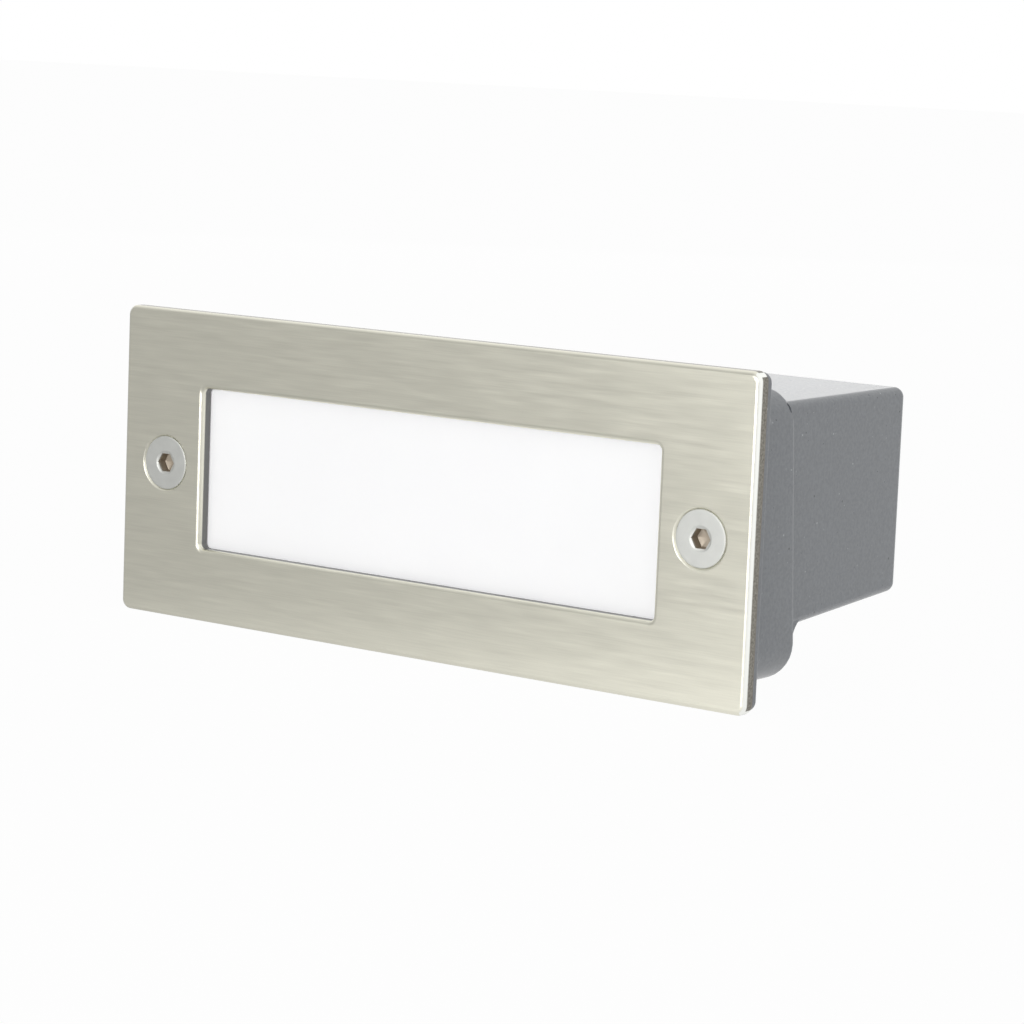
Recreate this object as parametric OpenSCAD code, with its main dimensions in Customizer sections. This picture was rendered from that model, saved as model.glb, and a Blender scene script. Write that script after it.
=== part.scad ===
// Recessed step light. A formed steel front plate with an opal window is screwed to a cast housing that sits
// in the wall and holds the light chamber, the driver, the terminals and a cable gland at the back.
// The origin is the centre of the flange's back face, which lies on the wall. X is to the right, Y goes into
// the wall and Z is up. Lengths are in millimetres.

/* [Front plate] */
// Width of the plate
plate_w = 170; // [168:0.5:190]
// Height of the plate
plate_h = 70; // [69:0.5:90]
// Depth of the plate from its face to the back of its skirt
plate_d = 3; // [2.7:0.1:3.2]
// Thickness of the sheet
sheet_t = 0.8; // [0.6:0.05:0.9]
// Radius of the plate's corners
plate_corner_r = 2.2; // [2:0.1:5]
// Outer radius of the sheet's bends
bend_r = 1.1; // [1:0.05:1.4]

/* [Window] */
// Width of the plate's bands at the two ends of the window
band_w = 23.2; // [23:0.1:30]
// Height of the plate's rails above and below the window
rail_h = 16.8; // [16.4:0.1:20]
// Radius of the window's corners
window_corner_r = 1.2; // [0.8:0.1:3]
// Height of the window's centre above the plate's centre
window_z = -0.3; // [-0.8:0.1:0.8]

/* [Diffuser] */
// Thickness of the opal pane
pane_t = 3; // [2:0.1:4]
// How far the pane reaches past the window at its ends
pane_lap_x = 2.2; // [1.6:0.1:2.6]
// How far the pane reaches past the window above and below
pane_lap_z = 3.8; // [2:0.1:4]
// Wall of the rubber channel round the pane
channel_t = 1.2; // [0.8:0.1:1.4]

/* [Cover screws] */
// Distance of the two screws from the plate's ends
screw_inset = 12.5; // [11:0.1:12.6]
// Diameter of the screws
screw_d = 6; // [5:0.1:6]
// Length of the screws with their countersunk heads
screw_len = 16; // [14:0.5:20]
// Diameter of the screw heads
head_d = 12.2; // [11.5:0.1:12.3]
// Width across the flats of the sockets
socket_af = 4; // [3:0.1:4]
// Depth of the sockets
socket_depth = 2.5; // [2:0.1:2.6]

/* [Housing] */
// Thickness of the flange
flange_t = 2; // [1.6:0.1:3]
// How far the flange stays inside the plate's edge
flange_inset = 0.4; // [0.4:0.1:1]
// Thickness of the gasket under the plate's skirt
gasket_t = 0.5; // [0.4:0.1:1]
// How far the shoulder stays inside the plate's top and bottom
shoulder_in = 4.5; // [4:0.1:5]
// Depth of the shoulder behind the wall plane, on the plate's axis
shoulder_d = 13.4; // [11:0.1:14]
// Lean of the shoulder's back in degrees, deeper at the bottom
shoulder_lean = 5; // [0:0.5:6]
// Radius of the shoulder's corners
shoulder_r = 8; // [6:0.1:9]
// Radius of the shoulder's back edge
shoulder_edge_r = 1.8; // [1:0.1:2.4]
// Depth of the housing behind the wall plane
box_d = 59.3; // [57:0.1:80]
// How far the box's top lies below the shoulder's
top_step = 2.7; // [1.5:0.1:3.4]
// How far the box's bottom lies above the shoulder's
bottom_step = 11.2; // [9:0.1:11.5]
// Radius of the hollow fillet under the box
step_r = 4; // [2:0.1:5]
// Radius of the box's edges
box_r = 2.2; // [2:0.1:4]
// Draft of the box's sides in degrees
side_draft = 1.6; // [0:0.1:2.5]
// Draft of the box's top in degrees
top_draft = 0; // [0:0.1:1]
// Draft of the box's bottom in degrees
bottom_draft = 3.4; // [0:0.1:3.6]
// Thickness of the cast walls
wall_t = 2.2; // [1.8:0.1:2.6]

/* [Light chamber] */
// Thickness of the tray's sheet
tray_t = 1.2; // [0.8:0.1:1.5]
// Depth of the light chamber
chamber_d = 17.5; // [15:0.5:22]
// Distance from the light board's ends to the chamber's walls
board_margin = 8.2; // [7.2:0.1:18]
// Distance from the light board's top and bottom to the chamber's walls
board_edge = 1.5; // [1:0.1:3]
// Columns of light emitters
led_columns = 12; // [4:1:16]
// Rows of light emitters
led_rows = 2; // [1:1:3]

/* [Driver] */
// Length of the driver's case
driver_w = 60; // [50:1:64]
// Depth of the driver's case
driver_d = 21; // [19:0.5:26]
// Height of the driver's case
driver_h = 30; // [27:0.5:32]

/* [Cable gland] */
// Diameter of the gland's thread
gland_d = 16; // [15:0.5:18]
// Diameter of the cable that the seal takes
cable_d = 7; // [5:0.5:8]
// Distance of the gland to the left of the centre
gland_left = 54; // [50:1:56]

/* [Hidden] */
$fn = 48;
// Sides of the rods and balls that a hull joins
ball_sides = 32;
// Overrun of every cut, and the bite of a piece that grows out of another
over = 1;
bite = 0.2;
// Clearances: flat faces that meet, a pane in its channel, a screw in its thread, a cone in its countersink
face_gap = 0.05;
pane_gap = 0.1;
thread_gap = 0.04;
cone_gap = 0.07;
// Play of a piece that is dropped over or beside another
loose_gap = 0.3;

// Sizes that follow the plate's
window_w = plate_w - 2 * band_w;
window_h = plate_h - 2 * rail_h;
screw_span = plate_w - 2 * screw_inset;
shoulder_h = plate_h - 2 * shoulder_in;
box_top = shoulder_h / 2 - top_step;
box_bottom = shoulder_h / 2 - bottom_step;

// Planes from the front to the back
flange_front = -flange_t;
skirt_back = flange_front - gasket_t;
face_y = skirt_back - plate_d;
sheet_back = face_y + sheet_t;
pane_front = skirt_back + pane_gap;
pane_back = pane_front + pane_t;
channel_front = sheet_back + face_gap;
channel_back = pane_back + pane_gap + channel_t;
tray_front = channel_back + face_gap;
tray_back = tray_front + tray_t;
floor_back = tray_front + chamber_d;
floor_front = floor_back - tray_t;
back_y = box_d - wall_t;

// Countersinks and screws
head_r = head_d / 2;
sink_edge = 0.45;
sink_r = head_r + sink_edge;
head_drop = 0.1;
head_top = face_y + head_drop;
head_rim = face_y + sink_edge - cone_gap;
screw_tip = 0.8;
seal_r = 0.5;
seal_play = 0.08;
seal_seat_r = (head_r + screw_d / 2) / 2;
seal_ring_r = seal_seat_r - seal_r / sqrt(2);
seal_ring_y = head_rim + head_r - seal_seat_r - seal_r / sqrt(2);
screw_end = head_top + screw_len;

// Housing
flange_w = plate_w - 2 * flange_inset;
flange_h = plate_h - 2 * flange_inset;
flange_edge_r = 0.8;
shoulder_step = 0.8;
shoulder_w = flange_w - 2 * shoulder_step;
box_step = 0.8;
foot_r = 1.8;
edge_steps = 3;
step_slices = 8;
box_root_share = 0.75;
inner_r = 1;
boss_r = 5.2;
boss_front = flange_front;
boss_floor = 2;
boss_web = 4;
boss_end = screw_end + 2 * boss_floor;
pad_h = 3;
pad_r = 3;
pad_y = back_y - pad_h;
pad_hole = 4.2;
fixing_r = 2.25;
fixing_x = 75;
fixing_z = 11;

// Small screws: shank, head, recess
m3_r = 1.5;
m3_head_r = 2.8;
m3_head_h = 1.9;
m3_slot_w = 0.8;
m3_slot_d = 0.9;

// Tray
tray_open_x = window_w / 2 + sheet_t;
tray_open_z = window_h / 2 + sheet_t;
floor_x = tray_open_x - 4.4;
floor_share = 0.526;
floor_z = tray_open_z * floor_share;
rim_margin = 0.6;
rim_x = window_w / 2 + pane_lap_x + pane_gap + channel_t + rim_margin;
rim_z = window_h / 2 + pane_lap_z + pane_gap + channel_t + rim_margin;
rim_r = 1.5;
post_r = 3.2;
post_x = rim_x + m3_head_r + rim_margin;
post_z = rim_z - m3_head_r - rim_margin;
ear_r = m3_head_r + rim_margin;
post_len = 9;
post_web = 3;

// Light board
board_w = 2 * (floor_x - board_margin);
board_h = 2 * (floor_z - board_edge);
board_t = 1.6;
board_front = floor_front - board_t;
board_screw_x = board_w / 2 - 5.5;
led_size = [3.5, 0.8, 2.8];
led_share = [0.76, 0.5];
led_span_x = board_w * led_share[0];
led_span_z = board_h * led_share[1];
grommet_bore_r = 2;
grommet_r = 2.8;
grommet_lip = 0.8;
grommet_lip_r = 3.4;
grommet_x = board_w / 2 + grommet_lip_r + loose_gap;

// Driver
driver_x = 32;
driver_z = (box_top - box_bottom) / 2;
driver_wall = 1.5;
driver_back = pad_y;
driver_front = driver_back - driver_d;
lid_t = 1.5;
lid_lip = 2;
lid_lip_t = 1;
ear_t = 2.5;
ear_len = 7;
ear_h = 10;
ear_x = driver_w / 2 + ear_len / 2;
pcb_t = 1.6;
pcb_stand = 2.5;
pcb_front = driver_back - driver_wall - pcb_stand - pcb_t;
core_size = [16, 11, 18];
core_window = [9, 12];
core_leg = 4;
core_x = -12;
winding_r = 4.2;
cap_r = 4;
cap_len = 11;
cap_x = [8, 18];

// Terminal block
pole_pitch = 8;
poles = 3;
terminal_x = -26;
terminal_w = pole_pitch * poles + 0.6;
terminal_d = 15;
terminal_h = 20;
terminal_back = pad_y;
terminal_front = terminal_back - terminal_d;
clamp_size = [5, 6, 16];
clamp_y = terminal_front + 6;
clamp_bore_r = 1.7;
clamp_screw_r = 1.4;
clamp_screw_z = 5;
well_r = 2.2;

// Earth point
earth_x = -9;
earth_share = 0.594;
earth_z = driver_z - earth_share * (box_top + box_bottom) / 2;
earth_r = 2;
earth_head_r = 3.5;
earth_head_h = 2.4;
tag_t = 0.8;
tag_r = 4;
tag_len = 9;

// Leads
mains_r = 1.1;
led_lead_r = 0.75;
knuckle_share = 1.12;
bend_share = 1.6;
lead_step = 2.6;

// Gland: planes behind the back wall, then radii
washer_t = 1.5;
hex_y = box_d + washer_t;
hex_t = 5;
neck_len = 8;
neck_y = hex_y + hex_t;
neck_end = neck_y + neck_len;
shank_in = 10;
locknut_t = 5;
gland_r = gland_d / 2;
hex_af = gland_d + 4;
locknut_af = gland_d + 6;
gland_wall = 1.7;
throat_r = gland_r - gland_wall - 1.4;
seat_r = gland_r - gland_wall;
neck_r = gland_r - 0.5;
seat_y = neck_y + 1.5;
claw_t = 0.8;
claw_r = seat_r - 0.1;
claw_slots = 6;
claw_slot_w = 0.8;
claw_ring = 4.5;
seal_len = 11;
nut_len = 17;
nut_y = neck_y + 0.4;
nut_wall = 2;
nut_r = hex_af / 2 / cos(30);
nut_mouth_r = cable_d / 2 + 1;
nut_nose = 3;
nut_taper = 4;
nut_cone_y = nut_y + nut_len - nut_nose - nut_wall;
nut_cone_slope = (neck_r + thread_gap - nut_mouth_r) / nut_nose;
claw_end = nut_cone_y + (neck_r + thread_gap - claw_r - face_gap) / nut_cone_slope;
claw_len = claw_end - seat_y - 2 * face_gap;
gland_x = -gland_left;
gland_z = driver_z;

function shoulder_back(z) = shoulder_d - z * tan(shoulder_lean);
function box_side(y) = shoulder_w / 2 - box_step - (y - shoulder_d) * tan(side_draft);
function box_up(y) = box_top - (y - shoulder_d) * tan(top_draft);
function box_down(y) = box_bottom - (y - shoulder_d) * tan(bottom_draft);

// A solid of an outline drawn in x and z, from y0 back to y1
module slab(y0, y1) {
    translate([0, y1, 0]) rotate([90, 0, 0]) linear_extrude(y1 - y0) children();
}

// A rod along Y from y0 to y1
module rod(y0, y1, r, r2 = undef) {
    translate([0, y0, 0]) rotate([-90, 0, 0]) cylinder(h = y1 - y0, r1 = r, r2 = is_undef(r2) ? r : r2);
}

// A revolved solid whose outline gives radius and y
module turned() {
    rotate([-90, 0, 0]) rotate_extrude() children();
}

// A hexagonal bar along Y from y0 to y1
module hex_bar(y0, y1, across) {
    translate([0, y0, 0]) rotate([-90, 0, 0]) cylinder(h = y1 - y0, r = across / 2 / cos(30), $fn = 6);
}

// A rectangle with round corners
module soft_rect(w, h, r) {
    square([w - 2 * r, h], center = true);
    square([w, h - 2 * r], center = true);
    for (sx = [-1, 1], sz = [-1, 1]) translate([sx * (w / 2 - r), sz * (h / 2 - r)]) circle(r);
}

// Section of a block whose two front edges are round, with its depth along the first axis
module round_front(depth, width, r) {
    translate([r, -width / 2]) square([depth - r, width]);
    translate([0, r - width / 2]) square([depth, width - 2 * r]);
    for (s = [-1, 1]) translate([r, s * (width / 2 - r)]) circle(r);
}

// A block from y0 to y1 with corners of radius cr and round front edges of radius er
module pan(w, h, y0, y1, cr, er) {
    depth = y1 - y0;
    translate([cr - w / 2, y0, 0]) rotate([90, 0, 90]) linear_extrude(w - 2 * cr) round_front(depth, h, er);
    translate([0, y0, cr - h / 2]) rotate([0, 0, 90]) linear_extrude(h - 2 * cr) round_front(depth, w, er);
    for (sx = [-1, 1], sz = [-1, 1]) translate([sx * (w / 2 - cr), y0, sz * (h / 2 - cr)]) turned() {
        square([cr - er, depth]);
        translate([0, er]) square([cr, depth - er]);
        translate([cr - er, er]) circle(er);
    }
}

// Section of a hollow fillet in the corner of two faces
module cove(r) {
    difference() {
        translate([-bite, -bite]) square(r + bite);
        translate([r, r]) circle(r);
    }
}

// Section of the sheet's quarter bend, round its centre
module bend_section() {
    difference() {
        intersection() {
            circle(bend_r);
            translate([-bend_r, -bend_r]) square(bend_r);
        }
        circle(bend_r - sheet_t);
    }
}

// The bend that leads from the plate's face into the window's walls, and the walls
module window_lips() {
    long = window_w - 2 * window_corner_r;
    high = window_h - 2 * window_corner_r;
    bend_y = face_y + bend_r;
    for (m = [0, 1]) {
        mirror([0, 0, m]) translate([-long / 2, bend_y, window_h / 2 + bend_r])
            rotate([90, 0, 90]) linear_extrude(long) bend_section();
        mirror([m, 0, 0]) translate([-window_w / 2 - bend_r, bend_y, -high / 2])
            rotate([0, 0, 90]) linear_extrude(high) bend_section();
    }
    for (c = [[1, -1, 0], [-1, -1, 90], [-1, 1, 180], [1, 1, 270]])
        translate([c[0] * long / 2, 0, c[1] * high / 2]) rotate([0, c[2], 0]) rotate([-90, 0, 0])
            rotate_extrude(angle = 90) translate([window_corner_r + bend_r, bend_y]) bend_section();
    slab(bend_y, skirt_back) difference() {
        soft_rect(window_w + 2 * sheet_t, window_h + 2 * sheet_t, window_corner_r + sheet_t);
        soft_rect(window_w, window_h, window_corner_r);
    }
}

module front_plate() color([0.80, 0.80, 0.74]) {
    cone_y = face_y + sheet_t / 2;
    cone_r = sink_r + sheet_t * (sqrt(2) - 1 / 2);
    difference() {
        union() {
            difference() {
                pan(plate_w, plate_h, face_y, skirt_back, plate_corner_r, bend_r);
                pan(plate_w - 2 * sheet_t, plate_h - 2 * sheet_t, sheet_back, skirt_back + over,
                    plate_corner_r - sheet_t, bend_r - sheet_t);
                translate([0, 0, window_z]) slab(face_y - over, sheet_back + over)
                    soft_rect(window_w + 2 * bend_r, window_h + 2 * bend_r, window_corner_r + bend_r);
            }
            translate([0, 0, window_z]) window_lips();
            for (s = [-1, 1]) translate([s * screw_span / 2, 0, 0])
                rod(cone_y, skirt_back, cone_r, cone_r - (skirt_back - cone_y));
        }
        for (s = [-1, 1]) translate([s * screw_span / 2, 0, 0])
            rod(face_y - over, skirt_back + over, sink_r + over, sink_r - plate_d - over);
    }
}

module plate_gasket() color([0.62, 0.60, 0.56]) {
    edge = 0.2;
    slab(skirt_back, flange_front) difference() {
        soft_rect(plate_w - 2 * edge, plate_h - 2 * edge, plate_corner_r - edge);
        soft_rect(shoulder_w - 2 * wall_t + 2 * edge, shoulder_h - 2 * wall_t + 2 * edge,
            shoulder_r - wall_t);
    }
}

module diffuser() color([0.97, 0.97, 0.97]) {
    translate([0, 0, window_z]) slab(pane_front, pane_back)
        soft_rect(window_w + 2 * pane_lap_x, window_h + 2 * pane_lap_z, window_corner_r);
}

module diffuser_channel() color([0.25, 0.25, 0.25]) {
    pocket_w = window_w + 2 * (pane_lap_x + pane_gap);
    pocket_h = window_h + 2 * (pane_lap_z + pane_gap);
    lip_w = window_w + 2 * (sheet_t + loose_gap);
    lip_h = window_h + 2 * (sheet_t + loose_gap);
    translate([0, 0, window_z]) difference() {
        slab(channel_front, channel_back)
            soft_rect(pocket_w + 2 * channel_t, pocket_h + 2 * channel_t, window_corner_r + channel_t);
        slab(pane_front - face_gap, pane_back + pane_gap) soft_rect(pocket_w, pocket_h, window_corner_r);
        slab(channel_front - over, channel_back + over) soft_rect(lip_w, lip_h, window_corner_r);
    }
}

// A cover screw on its own axis
module cover_screw() {
    shank_r = screw_d / 2;
    color([0.82, 0.82, 0.80]) difference() {
        turned() polygon([[0, head_top], [head_r, head_top], [head_r, head_rim],
            [shank_r, head_rim + head_r - shank_r], [shank_r, screw_end - screw_tip],
            [shank_r - screw_tip, screw_end], [0, screw_end]]);
        hex_bar(head_top - over, head_top + socket_depth, socket_af);
        turned() translate([seal_ring_r, seal_ring_y]) circle(seal_r + seal_play);
    }
}

module screw_seal() color([0.15, 0.15, 0.15]) turned() translate([seal_ring_r, seal_ring_y]) circle(seal_r);

module cover_screw_left() translate([-screw_span / 2, 0, 0]) cover_screw();
module cover_screw_right() translate([screw_span / 2, 0, 0]) cover_screw();
module screw_seal_left() translate([-screw_span / 2, 0, 0]) screw_seal();
module screw_seal_right() translate([screw_span / 2, 0, 0]) screw_seal();

// A ball that reaches exactly r along each axis
module ball(r) sphere(r = r / cos(180 / ball_sides), $fn = ball_sides);

// The shoulder's form, set in from its outside, from y0 to its leaning back
module shoulder_form(inset, y0) {
    r = shoulder_r - inset;
    e = max(shoulder_edge_r - inset, inset / 2);
    hull() for (sx = [-1, 1], sz = [-1, 1], i = [0:edge_steps]) {
        z = sz * (shoulder_h / 2 - shoulder_r);
        a = 90 * i / edge_steps;
        y = shoulder_back(z) - inset - e * (1 - sin(a));
        translate([sx * (shoulder_w / 2 - shoulder_r), 0, z])
            rod(i == 0 ? y0 : y - bite, y, r - e * (1 - cos(a)), $fn = ball_sides);
    }
}

// The tapered box's form, set in from its outside, from y0 to y1
module box_form(inset, y0, y1, r) {
    hull() for (sx = [-1, 1], end = [[y0, 0], [y1 - r, 1]], up = [0, 1]) {
        y = end[0];
        z = up == 1 ? box_up(y) - inset - r : inset + r - box_down(y);
        translate([sx * (box_side(y) - inset - r), y, z]) if (end[1] == 0) rod(0, bite, r, $fn = ball_sides);
            else ball(r);
    }
}

// Hollow fillet round a rounded rectangle that stands on the plane y, with the corner radius cr
module foot(half_w, up, down, cr, r, y) {
    long = 2 * (half_w - cr);
    translate([-long / 2, y, up]) rotate([90, 0, 90]) linear_extrude(long) cove(r);
    mirror([0, 0, 1]) translate([-long / 2, y, down]) rotate([90, 0, 90]) linear_extrude(long) cove(r);
    for (sx = [-1, 1], z = [up - cr, cr - down]) translate([sx * (half_w - cr), y, z]) turned()
        translate([cr, 0]) cove(r);
}

// Hollow fillet under the box, which turns round its lower corners and fades into its sides
module step_fillet() {
    start = shoulder_back(-box_bottom - step_r);
    end = start + step_r;
    root = box_r - bite / 2;
    section = concat([[0, start - over], [root + step_r, start - over]],
        [for (i = [0:step_slices]) let (a = 90 * i / step_slices)
            [root + step_r * (1 - sin(a)), start + step_r * (1 - cos(a))]],
        [[0, start + bite]]);
    half = box_side(end) - box_r;
    translate([-half, 0, box_r - box_down(end)]) rotate([90, 0, 90]) linear_extrude(2 * half)
        polygon([for (p = section) [p[1], -p[0]]]);
    intersection() {
        for (s = [-1, 1]) translate([s * half, 0, box_r - box_down(end)]) turned() polygon(section);
        slab(0, end + over) square([2 * (box_side(end) - bite), shoulder_h], center = true);
    }
}

// The cast form before its insides are cut
module housing_outside() {
    mirror([0, 1, 0]) pan(flange_w, flange_h, 0, flange_t, plate_corner_r, flange_edge_r);
    shoulder_form(0, flange_front / 2);
    box_form(0, box_root_share * shoulder_d, box_d, box_r);
    step_fillet();
    intersection() {
        foot(shoulder_w / 2, shoulder_h / 2, shoulder_h / 2, shoulder_r, foot_r, 0);
        slab(-bite, foot_r) square([shoulder_w - bite, flange_h], center = true);
    }
}

// Points on the back wall that carry a pad for a small screw
function pads() = [[driver_x - ear_x, driver_z], [driver_x + ear_x, driver_z],
    [terminal_x - pole_pitch / 2, driver_z], [terminal_x + pole_pitch / 2, driver_z], [earth_x, earth_z]];

module housing() color([0.54, 0.55, 0.56]) {
    difference() {
        union() {
            difference() {
                housing_outside();
                shoulder_form(wall_t, flange_front - over);
                box_form(wall_t, shoulder_d / 2, back_y, inner_r);
            }
            for (s = [-1, 1]) {
                translate([s * screw_span / 2, 0, 0]) rod(boss_front, boss_end, boss_r);
                translate([min(s * screw_span / 2, s * (box_side(boss_end) - bite)), 0, -boss_web / 2])
                    cube([box_side(boss_end) - bite - screw_span / 2, boss_end, boss_web]);
                translate([s * post_x, 0, window_z + post_z]) {
                    rod(tray_back, tray_back + post_len, post_r);
                    translate([-post_web / 2, tray_back, 0])
                        cube([post_web, post_len, shoulder_h / 2 - wall_t / 2 - window_z - post_z]);
                }
                translate([s * post_x, 0, window_z - post_z])
                    rod(tray_back, shoulder_back(window_z - post_z) - wall_t / 2, post_r);
            }
            for (p = pads()) translate([p[0], 0, p[1]]) rod(pad_y, back_y + bite, pad_r);
        }
        for (s = [-1, 1]) {
            translate([s * screw_span / 2, 0, 0])
                rod(boss_front - over, screw_end + boss_floor, screw_d / 2 + thread_gap);
            for (sz = [-1, 1]) translate([s * post_x, 0, window_z + sz * post_z])
                rod(tray_back - over, tray_back + pad_hole + bite, m3_r + thread_gap);
            translate([s * fixing_x, 0, fixing_z]) rod(back_y - over, box_d + over, fixing_r);
        }
        for (p = pads()) translate([p[0], 0, p[1]]) rod(pad_y - over, pad_y + pad_hole, m3_r + thread_gap);
        translate([gland_x, 0, gland_z]) rod(back_y - over, box_d + over, gland_r + thread_gap);
    }
}

// A small pan-head screw with its head's seat at y = 0 and its shank along +Y
module m3_screw(len) {
    difference() {
        union() {
            rod(-m3_head_h, 0, m3_head_r);
            rod(-bite, len, m3_r);
        }
        translate([0, -m3_head_h, 0]) cube([2 * m3_head_r + over, 2 * m3_slot_d, m3_slot_w], center = true);
    }
}

// A block from y0 to y1 that tapers from the half sizes a to the half sizes b
module taper(y0, y1, a, b) {
    hull() {
        slab(y0, y0 + face_gap) square(2 * a, center = true);
        slab(y1 - face_gap, y1) square(2 * b, center = true);
    }
}

module reflector_tray() color([0.93, 0.93, 0.91]) {
    open = [tray_open_x, tray_open_z];
    shut = [floor_x, floor_z];
    skin = [tray_t, tray_t];
    translate([0, 0, window_z]) difference() {
        union() {
            slab(tray_front, tray_back) {
                soft_rect(2 * rim_x, 2 * rim_z, rim_r);
                for (sx = [-1, 1], sz = [-1, 1]) {
                    translate([sx * post_x, sz * post_z]) circle(ear_r);
                    translate([sx * (rim_x - rim_r + post_x) / 2, sz * post_z])
                        square([post_x - rim_x + rim_r, 2 * ear_r], center = true);
                }
            }
            taper(tray_front, floor_back, open + skin, shut + skin);
        }
        taper(tray_front - face_gap, floor_front, open, shut);
        for (sx = [-1, 1]) {
            for (sz = [-1, 1]) translate([sx * post_x, 0, sz * post_z])
                rod(tray_front - over, tray_back + over, m3_r + pane_gap);
            translate([sx * board_screw_x, 0, 0]) rod(floor_front - over, floor_back + over, m3_r + thread_gap);
        }
        translate([grommet_x, 0, 0]) rod(floor_front - over, floor_back + over, grommet_r);
    }
}

module tray_screws() color([0.75, 0.75, 0.75]) {
    for (sx = [-1, 1], sz = [-1, 1]) translate([sx * post_x, tray_front, window_z + sz * post_z])
        m3_screw(tray_t + pad_hole);
}

module led_board() color([0.95, 0.95, 0.95]) {
    translate([0, 0, window_z]) difference() {
        slab(board_front, floor_front) soft_rect(board_w, board_h, window_corner_r);
        for (sx = [-1, 1]) translate([sx * board_screw_x, 0, 0])
            rod(board_front - over, floor_front + over, m3_r + pane_gap);
    }
}

module led_chips() color([0.95, 0.85, 0.45]) {
    for (i = [0:led_columns - 1], j = [0:led_rows - 1]) {
        x = led_columns > 1 ? led_span_x * (i / (led_columns - 1) - 1 / 2) : 0;
        z = led_rows > 1 ? led_span_z * (j / (led_rows - 1) - 1 / 2) : 0;
        translate([x, board_front - led_size[1] / 2, window_z + z]) cube(led_size, center = true);
    }
}

module board_screws() color([0.75, 0.75, 0.75]) {
    for (sx = [-1, 1]) translate([sx * board_screw_x, board_front, window_z])
        m3_screw(board_t + tray_t + over);
}

module lead_grommet() color([0.15, 0.15, 0.15]) {
    translate([grommet_x, 0, window_z]) turned() {
        translate([grommet_bore_r, floor_front - grommet_lip])
            square([grommet_r - face_gap - grommet_bore_r, tray_t + 2 * grommet_lip]);
        for (y = [floor_front - grommet_lip, floor_back])
            translate([grommet_bore_r, y]) square([grommet_lip_r - grommet_bore_r, grommet_lip]);
    }
}

// A box given by its size, centred on x and z, from y0 back to y1
module block(w, h, y0, y1) slab(y0, y1) square([w, h], center = true);

module driver_case() color([0.90, 0.90, 0.88]) {
    translate([driver_x, 0, driver_z]) difference() {
        union() {
            slab(driver_front + lid_t, driver_back) soft_rect(driver_w, driver_h, driver_wall);
            block(2 * (ear_x + ear_len / 2), ear_h, driver_back - ear_t, driver_back);
        }
        block(driver_w - 2 * driver_wall, driver_h - 2 * driver_wall, driver_front, driver_back - driver_wall);
        for (s = [-1, 1]) {
            translate([s * ear_x, 0, 0]) rod(driver_back - ear_t - over, driver_back + over, m3_r + pane_gap);
            translate([-driver_w / 2, lead_y, s * 2 * mains_r])
                rotate([0, 90, 0]) cylinder(h = 2 * driver_wall + over, r = mains_r + pane_gap, center = true);
        }
        translate([driver_w / 2, lead_y, window_z - driver_z])
            rotate([0, 90, 0]) cylinder(h = 2 * driver_wall + over, r = grommet_bore_r, center = true);
    }
}

module driver_lid() color([0.90, 0.90, 0.88]) {
    lip_w = driver_w - 2 * (driver_wall + pane_gap);
    lip_h = driver_h - 2 * (driver_wall + pane_gap);
    translate([driver_x, 0, driver_z]) {
        slab(driver_front, driver_front + lid_t) soft_rect(driver_w, driver_h, driver_wall);
        difference() {
            block(lip_w, lip_h, driver_front + lid_t / 2, driver_front + lid_t + lid_lip);
            block(lip_w - 2 * lid_lip_t, lip_h - 2 * lid_lip_t, driver_front, driver_back);
        }
    }
}

module driver_screws() color([0.75, 0.75, 0.75]) {
    for (s = [-1, 1]) translate([driver_x + s * ear_x, driver_back - ear_t, driver_z])
        m3_screw(ear_t + pad_hole - bite);
}

module driver_board() color([0.15, 0.42, 0.25]) {
    post_x = driver_w / 2 - 3 * driver_wall;
    translate([driver_x, 0, driver_z]) {
        block(driver_w - 4 * driver_wall, driver_h - 4 * driver_wall, pcb_front, pcb_front + pcb_t);
        for (s = [-1, 1]) translate([s * post_x, 0, 0])
            rod(pcb_front + pcb_t / 2, driver_back - driver_wall, driver_wall);
    }
}

module driver_core() color([0.25, 0.25, 0.27]) {
    translate([driver_x + core_x, 0, driver_z]) {
        difference() {
            block(core_size[0], core_size[2], pcb_front - core_size[1], pcb_front);
            translate([0, pcb_front - core_size[1] / 2, 0])
                cube([core_window[0] * 1.2, core_size[1] + over, core_window[1]], center = true);
        }
        translate([0, pcb_front - core_size[1] / 2, 0])
            cylinder(r = core_leg / 2, h = core_window[1] + bite, center = true);
    }
}

module driver_winding() color([0.85, 0.72, 0.25]) {
    translate([driver_x + core_x, pcb_front - core_size[1] / 2, driver_z]) difference() {
        cylinder(r = winding_r, h = core_window[1] - 2 * pane_gap, center = true);
        cylinder(r = core_leg / 2 + pane_gap, h = core_window[1] + over, center = true);
    }
}

module driver_capacitors() color([0.15, 0.18, 0.30]) {
    for (x = cap_x) translate([driver_x + x, 0, driver_z]) {
        rod(pcb_front - cap_len, pcb_front - over, cap_r);
        for (s = [-1, 1]) translate([s * cap_r / 2, 0, 0]) rod(pcb_front - 2 * over, pcb_front, pane_gap * 3);
    }
}

function pole_x(i) = terminal_x + (i - (poles - 1) / 2) * pole_pitch;

module terminal_block() color([0.92, 0.92, 0.90]) {
    difference() {
        translate([terminal_x, 0, driver_z]) {
            slab(terminal_front, terminal_back) soft_rect(terminal_w, terminal_h, over);
        }
        for (i = [0:poles - 1]) translate([pole_x(i), clamp_y, driver_z]) {
            cube([clamp_size[0], clamp_size[1], terminal_h + over] + [2, 2, 2] * face_gap, center = true);
            for (s = [-1, 1]) translate([0, terminal_front - clamp_y, s * clamp_screw_z])
                rod(-over, clamp_y - terminal_front, well_r);
        }
        for (s = [-1, 1]) translate([terminal_x + s * pole_pitch / 2, 0, driver_z])
            rod(terminal_front - over, terminal_back + over, m3_r - pane_gap);
    }
}

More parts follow.
